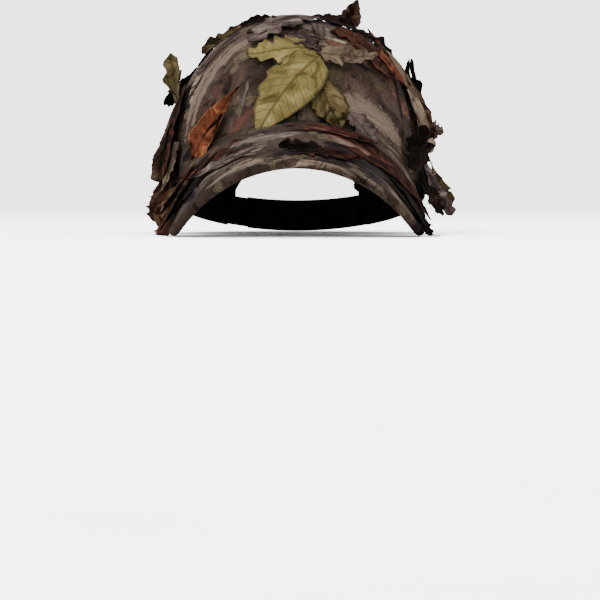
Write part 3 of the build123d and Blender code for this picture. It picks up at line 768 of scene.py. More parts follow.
seamTape = {"halfWidth": 6.0, "top": 81.0, "clear": 0.6, "overBuckram": -2.35, "depth": -1.4,
            "thickness": 0.5, "wave": 0.15, "flat": (0.0122, 0.165)}
seams = {"front": 0, "front_left": 60, "front_right": -60, "rear_left": 120, "rear_right": -120, "rear": 180}
for side, angle in seams.items():
    seam = seamTurn(angle)
    ups = np.linspace(crownBottom(seam) + seamTape["clear"], seamTape["top"], 70)[:, None]
    spread = np.degrees(seamTape["halfWidth"] / np.maximum(ringRadius(ups), 12))
    arounds = seam + spread * np.linspace(-1, 1, 9)[None, :]
    depth = seamTape["overBuckram" if abs(angle) <= 60 else "depth"]
    innerPatch("seamTape_" + side, ["seam_tape_" + side], arounds, ups, depth, seamTape["thickness"],
               tapeCloth, seamTape["wave"])
print("lining made")

# the gap is half the open part at the back, in degrees
band = {"height": 32.0, "lift": -3.6, "thickness": 1.0, "columns": 220, "gap": 33, "flat": (0.0325, 0.500)}


def makeSweatband():
    # a folded strip that stands inside the rim, its top edge rolled
    ends = 180 - band["gap"]
    around = np.linspace(-ends, ends, band["columns"])
    bottoms = np.array([max(crownBottom(a), 0.4) for a in around])
    rows = np.linspace(0, 1, 22)[:, None]
    _, _, rimH = rowToCrown(crownPoint(around, bottoms))
    h = rimH + 0.6 + np.maximum(band["height"] - rimH, 8) * rows
    up = np.degrees(np.arcsin(np.clip(h / crown["depth"], 0, 1) ** (crown["power"] / 2)))
    base = crownPoint(np.broadcast_to(around[None, :], up.shape), up)
    lift = band["lift"] - 0.5 * np.sin(np.pi * rows) ** 0.5 + 0.35 * wander(base, 16.0, 3.0)
    lift = lift + 0.45 * np.exp(-((rows - 0.93) / 0.02) ** 2)
    points, _ = ontoCrown(base, lift)
    uv = np.stack([np.radians(np.broadcast_to(around[None, :], up.shape)) * 0.92, h / 100], -1)
    strip = clothGrid("sweatband_strip", points, uv)
    strip.data.materials.append(bandCloth)
    thicken(strip, band["thickness"])
    finishPiece(strip, nodes=["sweatband"])


makeSweatband()
print("sweatband made")


# Visor: two printed covers over the hidden board, and a bound edge

visorWork = {"columns": 150, "rows": 44, "top": 1.85, "under": -1.15, "cover": 0.7, "flat": (0.235, 0.135)}
visorStrokes = [
    ("strokeGrey", 7.0, [(-0.34, 0.30), (-0.22, 0.34), (-0.10, 0.36), (0.0, 0.34)]),
    ("strokeGrey", 5.0, [(-0.40, 0.70), (-0.28, 0.62), (-0.14, 0.60)]),
    ("strokeDark", 9.0, [(-0.52, 0.35), (-0.44, 0.45), (-0.36, 0.60)]),
    ("strokeDark", 5.5, [(-0.60, 0.60), (-0.50, 0.72), (-0.40, 0.86)]),
    ("strokeRust", 3.4, [(-0.70, 0.50), (-0.62, 0.30), (-0.54, 0.16)]),
    ("strokePale", 2.6, [(-0.74, 0.75), (-0.66, 0.48), (-0.58, 0.30)]),
    ("strokePale", 3.8, [(-0.30, 0.92), (-0.20, 0.86), (-0.08, 0.88)]),
    ("strokeDark", 12.0, [(0.16, 0.50), (0.30, 0.60), (0.46, 0.70), (0.62, 0.80)]),
    ("strokeRust", 6.0, [(0.06, 0.18), (0.18, 0.24), (0.32, 0.34), (0.46, 0.44)]),
    ("strokeRust", 4.0, [(0.30, 0.62), (0.42, 0.74), (0.54, 0.84)]),
    ("strokeDark", 6.0, [(0.34, 0.20), (0.46, 0.26), (0.58, 0.36)]),
    ("strokeDark", 5.0, [(0.40, 0.86), (0.52, 0.88), (0.66, 0.86)]),
    ("strokeDark", 6.0, [(0.12, 0.72), (0.24, 0.70), (0.34, 0.76)]),
    ("strokeDark", 4.0, [(-0.06, 0.80), (0.04, 0.78), (0.14, 0.86)]),
]


def visorSheet(name, node, lift, material, wave, flip):
    across = np.linspace(-1.008, 1.008, visorWork["columns"])[None, :]
    out = np.linspace(-0.035, 1, visorWork["rows"])[:, None]  # the inner edge tucks up behind the crown
    base = visorPoint(across, out)
    lifts = lift + wave * wander(base, 30.0, 5.0) + 0.12 * wander(base, 8.0, 9.0)
    lifts = lifts - 0.25 * np.exp(-((out - 0.985) / 0.012) ** 2)  # pulled down by the binding's stitches
    points = visorPoint(across, out, lifts)
    uv = np.stack([base[..., 0] * 1.15 / 100, base[..., 1] * 1.05 / 100], -1)
    if flip:
        points, uv, base = points[:, ::-1], uv[:, ::-1], base[:, ::-1]
    sheet = clothGrid(name, points, uv, paintStrokes(base, visorStrokes, visorPoint))
    sheet.data.materials.append(material)
    thicken(sheet, visorWork["cover"])
    finishPiece(sheet, nodes=[node])


visorSheet("visorTopCloth", "visor_top_cover", visorWork["top"], visorCloth, 0.12, True)
visorSheet("visorUnderCloth", "visor_under_cover", visorWork["under"] - visorWork["cover"], underCloth,
           0.1, False)


def visorEdge():
    # bias binding folded round the edge, a little puckered between stitches
    binding = {"halfHeight": 2.25, "depth": 2.9, "columns": 420, "profile": 13, "thickness": 0.45,
               "flatWidth": 0.0128, "stitchOut": 0.972, "stitchLift": 2.05}
    across = np.linspace(-1, 1, binding["columns"])[:, None]
    angle = np.linspace(-0.5, 0.5, binding["profile"])[None, :] * 1.22 * math.pi
    outward = visorPoint(across[:, 0], 1.004) - visorPoint(across[:, 0], 0.98)
    outward = unit(outward)[:, None, :]
    edge, normal = ontoVisor(visorPoint(across[:, 0], 1.0))
    edge, normal = edge[:, None, :], normal[:, None, :]
    fine, coarse = wander(edge[:, 0, :], 3.5, 2.0), wander(edge[:, 0, :], 12.0, 4.0)
    bumps = 1 + 0.05 * fine[:, None] + 0.04 * coarse[:, None]
    depth = binding["depth"] * np.cos(angle) * bumps
    height = binding["halfHeight"] * np.sign(np.sin(angle)) * np.abs(np.sin(angle)) ** 0.8 * bumps
    points = edge + outward * depth[..., None] + normal * height[..., None]
    run = runAlong(edge[:, 0])
    uv = np.stack(np.broadcast_arrays(run[:, None] / 100, (angle * 2.4) / 100), -1)
    obj = clothGrid("visorEdgeTape", points, uv)
    obj.data.materials.append(bindingCloth)
    thicken(obj, binding["thickness"])
    finishPiece(obj, nodes=["visor_edge_binding"])
    top = visorPoint(across[:, 0], binding["stitchOut"], binding["stitchLift"])
    bottom = visorPoint(across[:, 0], binding["stitchOut"], -binding["stitchLift"])
    return [(top, normal[:, 0]), (bottom, -normal[:, 0])]


stitchRow(visorEdge(), {"name": "visorEdgeStitching", "slot": "binding_cloth", "pitch": 3.2,
                        "length": 2.3, "thread": 0.45, "lift": 0.1})
print("visor made")


# Back: bound opening and the hook-and-loop strap

def wallStrip(name, nodes, xFrom, xTo, bottom, width, lift, thickness, material, body="cap",
              columns=60):
    # webbing that stands upright round the back of the rim
    x = np.linspace(xFrom, xTo, columns)[None, :]
    h = bottom + width * np.linspace(0, 1, 12)[:, None]
    a, b = crown["halfWidth"] + lift, crown["halfLength"] + lift
    y = b * np.sqrt(1 - (x / a) ** 2)
    x, y, h = np.broadcast_arrays(x, y, h)
    points = crownToRow(x, y, h)
    run = runAlong(points[0])
    uv = np.stack(np.broadcast_arrays(run[None, :] / 100, h / 100), -1)
    obj = clothGrid(name, points[:, ::-1], uv[:, ::-1])
    obj.data.materials.append(material)
    thicken(obj, thickness)
    finishPiece(obj, body, nodes)
    return obj


wallStrip("loopSideStrap", ["strap_loop_side"], -34, 66, -0.3, 21.5, -2.2, 1.0, webbingCloth)
wallStrip("loopPilePad", ["loop_pad"], -32, 44, 1.0, 19, -1.15, 0.8, loopPile)
tail = wallStrip("hookSideStrap", ["strap_hook_anchor", "strap_hook_tail"], -68, 34, 1.5, 20, 1.55, 1.2,
                 webbingCloth, body=None, columns=110)
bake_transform(tail)
wallStrip("hookPad", ["hook_pad"], -28, 32, 2.5, 18, 0.05, 0.8, hookPile, body="strap")


def openingTape():
    # bias binding round the half-moon
    tape = {"clear": 0.2, "width": 6.8, "start": 0.44, "thickness": 0.5, "flatWidth": 0.0102}
    angle = np.linspace(tape["start"], math.pi - tape["start"], 140)[:, None]
    profile = np.linspace(0, 1, 9)[None, :]
    across = (opening["halfWidth"] + tape["clear"] + tape["width"] * profile) * np.cos(angle)
    h = (opening["height"] + tape["clear"] + tape["width"] * profile) * np.sin(angle)
    h = np.clip(h, 0, crown["depth"] * 0.98)
    ring = (1 - (h / crown["depth"]) ** crown["power"]) ** (1 / crown["power"])
    y = crown["halfLength"] * np.sqrt(np.maximum(ring ** 2 - (across / crown["halfWidth"]) ** 2, 0))
    base = crownToRow(across, y, h)
    lift = 0.62 - 0.5 * (2 * profile - 1) ** 6 + 0.08 * wander(base, 5.0, 1.0)
    points, normal = ontoCrown(base, lift)
    run = runAlong(base[:, 0])
    uv = np.stack(np.broadcast_arrays(run[:, None] / 100, profile * tape["width"] / 100), -1)
    obj = clothGrid("openingEdgeTape", points, uv)
    obj.data.materials.append(bindingCloth)
    thicken(obj, tape["thickness"])
    finishPiece(obj, nodes=["rear_opening_binding"])
    return [(points[:, k] + normal[:, k] * 0.1, normal[:, k]) for k in (1, 7)]


stitchRow(openingTape(), {"name": "openingStitching", "slot": "binding_cloth", "pitch": 3.2,
                          "length": 2.3, "thread": 0.42, "lift": 0.1})
print("back opening and strap made")


# Top button and eyelets

def coveredButton():
    # a domed shell with the crown's cloth pulled over it and tucked beneath
    button = {"radius": 7.4, "height": 4.1}
    deselectAll()
    bpy.ops.mesh.primitive_uv_sphere_add(segments=48, ring_count=24, radius=button["radius"] * 0.001)
    obj = bpy.context.active_object
    obj.name = "coveredTopButton"
    points = np.array([v.co for v in obj.data.vertices]) * 1000
    high = points[:, 2] > 0
    points[:, 2] = np.where(high, points[:, 2] * button["height"] / button["radius"], points[:, 2] * 0.06)
    turn = np.arctan2(points[:, 1], points[:, 0])
    radius = np.hypot(points[:, 0], points[:, 1])
    points[:, 2] += 0.12 * np.cos(turn * 9 + 1) * (radius / button["radius"]) ** 3 * high
    row = crownToRow(points[:, 0], points[:, 1], crown["depth"] + 0.4 + points[:, 2])
    obj.data.vertices.foreach_set("co", (row * 0.001).astype(np.float32).ravel())
    obj.data.uv_layers[0].name = "cloth"
    corners = np.zeros(len(obj.data.loops), np.int32)
    obj.data.loops.foreach_get("vertex_index", corners)
    obj.data.uv_layers[0].data.foreach_set("uv", (points[corners][:, :2] / 100).astype(np.float32).ravel())
    obj.data.polygons.foreach_set("use_smooth", [True] * len(obj.data.polygons))
    obj.data.update()
    obj.data.materials.append(bindingCloth)
    finishPiece(obj, nodes=["button"])


coveredButton()


def stitchedEyelets():
    # a ring of buttonhole stitches round each vent hole, one thread modelled and turned round the ring
    eyelet = {"hole": 2.2, "outer": 3.9, "threads": 34, "up": 52.0}
    points, faces = [], []
    for middle in sides.values():
        centre, normal = ontoCrown(crownPoint(np.array(float(middle)), np.array(eyelet["up"])), 0.15)
        rise = unit(np.array([0, tiltSin, tiltCos]) - normal * float(np.dot([0, tiltSin, tiltCos], normal)))
        side = np.cross(rise, normal)
        for k in range(eyelet["threads"]):
            a = 2 * math.pi * k / eyelet["threads"]
            outward = side * math.cos(a) + rise * math.sin(a)
            tangent = -side * math.sin(a) + rise * math.cos(a)
            base = len(points)
            for t in range(7):
                phi = math.pi * t / 6
                reach = (eyelet["hole"] + eyelet["outer"]) / 2 + 0.12 * math.sin(k * 2.4)
                reach -= (eyelet["outer"] - eyelet["hole"]) / 2 * math.cos(phi)
                middlePoint = centre + outward * reach + normal * (0.55 * math.sin(phi) - 0.15)
                for s in range(4):
                    b = math.pi / 2 * s
                    points.append(middlePoint + tangent * 0.3 * math.cos(b) + normal * 0.26 * math.sin(b))
            for t in range(6):
                for s in range(4):
                    p, q = base + t * 4 + s, base + t * 4 + (s + 1) % 4
                    faces.append((p, p + 4, q + 4, q))
            faces.append(tuple(base + s for s in range(4)))
            faces.append(tuple(base + 24 + s for s in reversed(range(4))))
    threadPiece("stitchedEyelets", points, faces, ["eyelets"])


stitchedEyelets()
print("button and eyelets made")


# Leaves

leafKinds = {
    # teeth or fingers a side, how deep the gaps cut, how far the points lean forward, the widest place,
    # how full the outline is, and how ragged
    "broad": {"lobes": 6, "depth": 0.10, "lean": 0.10, "widest": 0.80, "full": 0.72, "ragged": 0.06},
    "oak": {"lobes": 4, "depth": 0.45, "lean": 0.35, "widest": 0.72, "full": 0.62, "ragged": 0.10},
    "maple": {"lobes": 3, "depth": 0.66, "lean": 0.75, "widest": 0.62, "full": 0.55, "ragged": 0.12},
    "willow": {"lobes": 5, "depth": 0.14, "lean": 0.25, "widest": 0.66, "full": 0.95, "ragged": 0.06},
    "torn": {"lobes": 5, "depth": 0.42, "lean": 0.55, "widest": 0.85, "full": 0.50, "ragged": 0.30},
    "spear": {"lobes": 3, "depth": 0.10, "lean": 0.15, "widest": 0.38, "full": 1.0, "ragged": 0.05},
    "strip": {"lobes": 7, "depth": 0.22, "lean": 0.30, "widest": 0.90, "full": 0.28, "ragged": 0.22},
}


def leafHalfWidth(t, kind, rng):
    # one side of the outline along the leaf, as a share of its half-width
    shape = leafKinds[kind]
    body = np.sin(math.pi * np.clip(t, 0, 1) ** shape["widest"]) ** shape["full"]
    phase = rng.uniform(-0.25, 0.25)
    step = t * shape["lobes"] + phase
    step = step + 0.12 * np.sin(step * 2.1 + rng.uniform(0, 6))
    frac = step - np.floor(step)
    gap = np.where(frac < 0.72, 1 - frac / 0.72, (frac - 0.72) / 0.28) ** 0.85
    strength = np.array([rng.uniform(0.55, 1.25) for _ in range(shape["lobes"] + 3)])
    depth = shape["depth"] * strength[np.clip(np.floor(step).astype(int) + 1, 0, shape["lobes"] + 2)]
    rag = sum(math.sin(rng.uniform(0, 6)) * np.sin(t * f + rng.uniform(0, 6)) for f in (17, 29, 43))
    rag = rag * shape["ragged"] * 0.5
    return np.clip(body * (1 - depth * gap) * (1 + rag), 0.0, 1.3), 1 - gap


# layer is the root's height over the cloth, rise is what the laid part climbs, and free is where the leaf
# leaves the surface; angles are in degrees, and a stem below 0 is a broad root
leafDefaults = {"on": "crown", "layer": 1.2, "rise": 3.0, "free": 0.75, "curl": 20, "bend": 0, "twist": 0,
                "stem": 0.06, "cup": 0.9, "crease": 0.5, "crumple": 0.8, "smoothSide": None,
                "steps": 54, "lanes": 13, "thickness": 0.4}


def growLeaf(name, leaf, nodes):
    # marches along the surface from the stitched root, then leaves it, curling and twisting
    rng = random.Random(name)
    leaf = {**leafDefaults, **leaf}
    onVisor = leaf["on"] == "visor"
    surface = ontoVisor if onVisor else ontoCrown
    steps, lanes = leaf["steps"], leaf["lanes"]
    length, width = leaf["length"], leaf["width"]
    layer, rise, freeFrom = leaf["layer"], leaf["rise"], leaf["free"]
    if onVisor:
        start = visorPoint(leaf["place"][0], leaf["place"][1])
        upward = np.array([0.0, 1.0, 0.3])
    else:
        start = crownPoint(np.array(float(leaf["place"][0])), np.array(float(leaf["place"][1])))
        upward = np.array([0, tiltSin, tiltCos])
    foot, normal = surface(start, 0.0)
    rise0 = unit(upward - normal * np.dot(upward, normal))
    side0 = np.cross(rise0, normal)
    heading = math.radians(leaf["heading"])
    way = rise0 * math.cos(heading) + side0 * math.sin(heading)
    centres, feet, ways, normals = [], [], [], []
    for i in range(steps + 1):
        t = i / steps
        if t <= freeFrom:
            lift = layer + rise * (t / freeFrom) ** 1.7
            foot, normal = surface(foot, 0.0)
            point = foot + normal * lift
            way = unit(way - normal * np.dot(way, normal))
            tip = rise * 1.7 / max(freeFrom * length, 1)
        else:
            if i and (i - 1) / steps <= freeFrom:
                way = unit(way + normal * tip)
                normal = unit(normal - way * np.dot(normal, way))
            curl = math.radians(leaf["curl"]) / max((1 - freeFrom) * steps, 1)
            way, normal = (unit(way * math.cos(curl) + normal * math.sin(curl)),
                           unit(normal * math.cos(curl) - way * math.sin(curl)))
        bend = math.radians(leaf["bend"]) / steps
        across = np.cross(way, normal)
        way = unit(way * math.cos(bend) + across * math.sin(bend))
        centres.append(point)
        feet.append(foot)
        ways.append(way)
        normals.append(normal)
        point = point + way * length / steps
        foot = foot + way * length / steps
    centres, feet, ways, normals = map(np.array, (centres, feet, ways, normals))
    across = np.cross(ways, normals)
    t = np.linspace(0, 1, steps + 1)
    lane = np.linspace(-1, 1, lanes)
    lane = np.sign(lane) * np.abs(lane) ** 0.9
    left, leftTip = leafHalfWidth(t, leaf["kind"], rng)
    right, rightTip = leafHalfWidth(t, leaf["kind"], rng)
    if leaf["stem"] < 0:
        base = 0.62 * np.clip(1.4 - t / 0.3, 0, 1)  # sewn on along a broad base, with no stem
        left, right = np.maximum(left, base), np.maximum(right, base)
    if leaf["smoothSide"]:
        smooth = np.sin(math.pi * t ** 0.8) ** 0.75
        right = smooth if leaf["smoothSide"] == "right" else right
        left = smooth if leaf["smoothSide"] == "left" else left
    narrow = np.clip((t - leaf["stem"]) / 0.06, 0, 1)
    half = np.where(lane[None, :] < 0, left[:, None], right[:, None]) * narrow[:, None] * width / 2
    half = np.maximum(half, 0.55 * (1 - 0.75 * t[:, None]))
    shape = leafKinds[leaf["kind"]]
    lean = min(shape["lean"] * width * 0.5, 0.2 * length / shape["lobes"])
    tipness = np.where(lane[None, :] < 0, leftTip[:, None], rightTip[:, None])
    x = lane[None, :] * half
    forward = lean * np.abs(lane[None, :]) ** 1.6 * tipness * half / (width / 2)
    forward = forward * np.clip(1.1 - t[:, None], 0, 1)
    twist = np.radians(leaf["twist"]) * t[:, None] ** 1.5
    cup = leaf["cup"] * (lane[None, :] ** 2) * half / (width / 2) * (0.3 + 0.7 * t[:, None])
    crease = -leaf["crease"] * (1 - np.abs(lane[None, :])) ** 3
    spread = across[:, None, :] * (x * np.cos(twist))[..., None] + ways[:, None, :] * forward[..., None]
    base = centres[:, None, :] + spread
    follow = np.clip((freeFrom - t) / 0.12, 0, 1)[:, None]
    lifts = layer + rise * np.clip(t / freeFrom, 0, 1) ** 1.7
    hugged, huggedNormal = surface(feet[:, None, :] + spread, np.broadcast_to(lifts[:, None], x.shape))
    base = base + (hugged - base) * follow[..., None]
    huggedNormal = unit(huggedNormal * follow[..., None] + normals[:, None, :] * (1 - follow[..., None]))
    rough = leaf["crumple"]
    ripple = wander(base, 15.0, rng.uniform(0, 50)) * rough
    ripple = ripple + wander(base, 6.0, rng.uniform(0, 50)) * rough * 0.35
    ripple = (ripple + rough * (0.1 if leaf["twist"] else 0.5)) * np.clip(t * 4, 0, 1)[:, None]
    # a twisted leaf stands on its inner edge
    stand = np.abs(np.sin(twist)) * half.max(axis=1, keepdims=True) * 0.25
    height = x * np.sin(twist) + stand + cup + crease + ripple
    height = np.where(follow > 0, np.maximum(height, 0.1 - lifts[:, None]), height)
    points = base + huggedNormal * height[..., None]
    points[..., 2] = np.maximum(points[..., 2], 0.7 + 0.2 * (lane[None, :] + 1))
    uv = np.stack([x / 100, np.broadcast_to(t[:, None] * length / 100, x.shape)], -1)
    edge = np.broadcast_to(np.abs(lane)[None, :] ** 2, x.shape).copy()
    edge = np.maximum(edge, np.clip((t[:, None] - 0.9) / 0.1, 0, 1))
    obj = clothGrid(name, points, uv, {"leafEdge": edge})
    obj.data.materials.append(leafCloth[leaf["tone"]])
    obj.data.materials.append(leafBack)
    area = clothArea(obj)
    thicken(obj, leaf["thickness"], backSlot=1)
    finishPiece(obj, "cap", nodes)
    span = max(float((half[:, 0] + half[:, -1]).max()) / 1000, 0.0101)
    cut = float((half[:, 0] + half[:, -1]).mean()) * length / 1e6
    share = min(max(cut / (span * length / 1000), 0.31), 1.0)
    if not 0.8 < area / (share * span * length / 1000) < 1.45:
        print("check the area of", name, round(area / (share * span * length / 1000), 2))


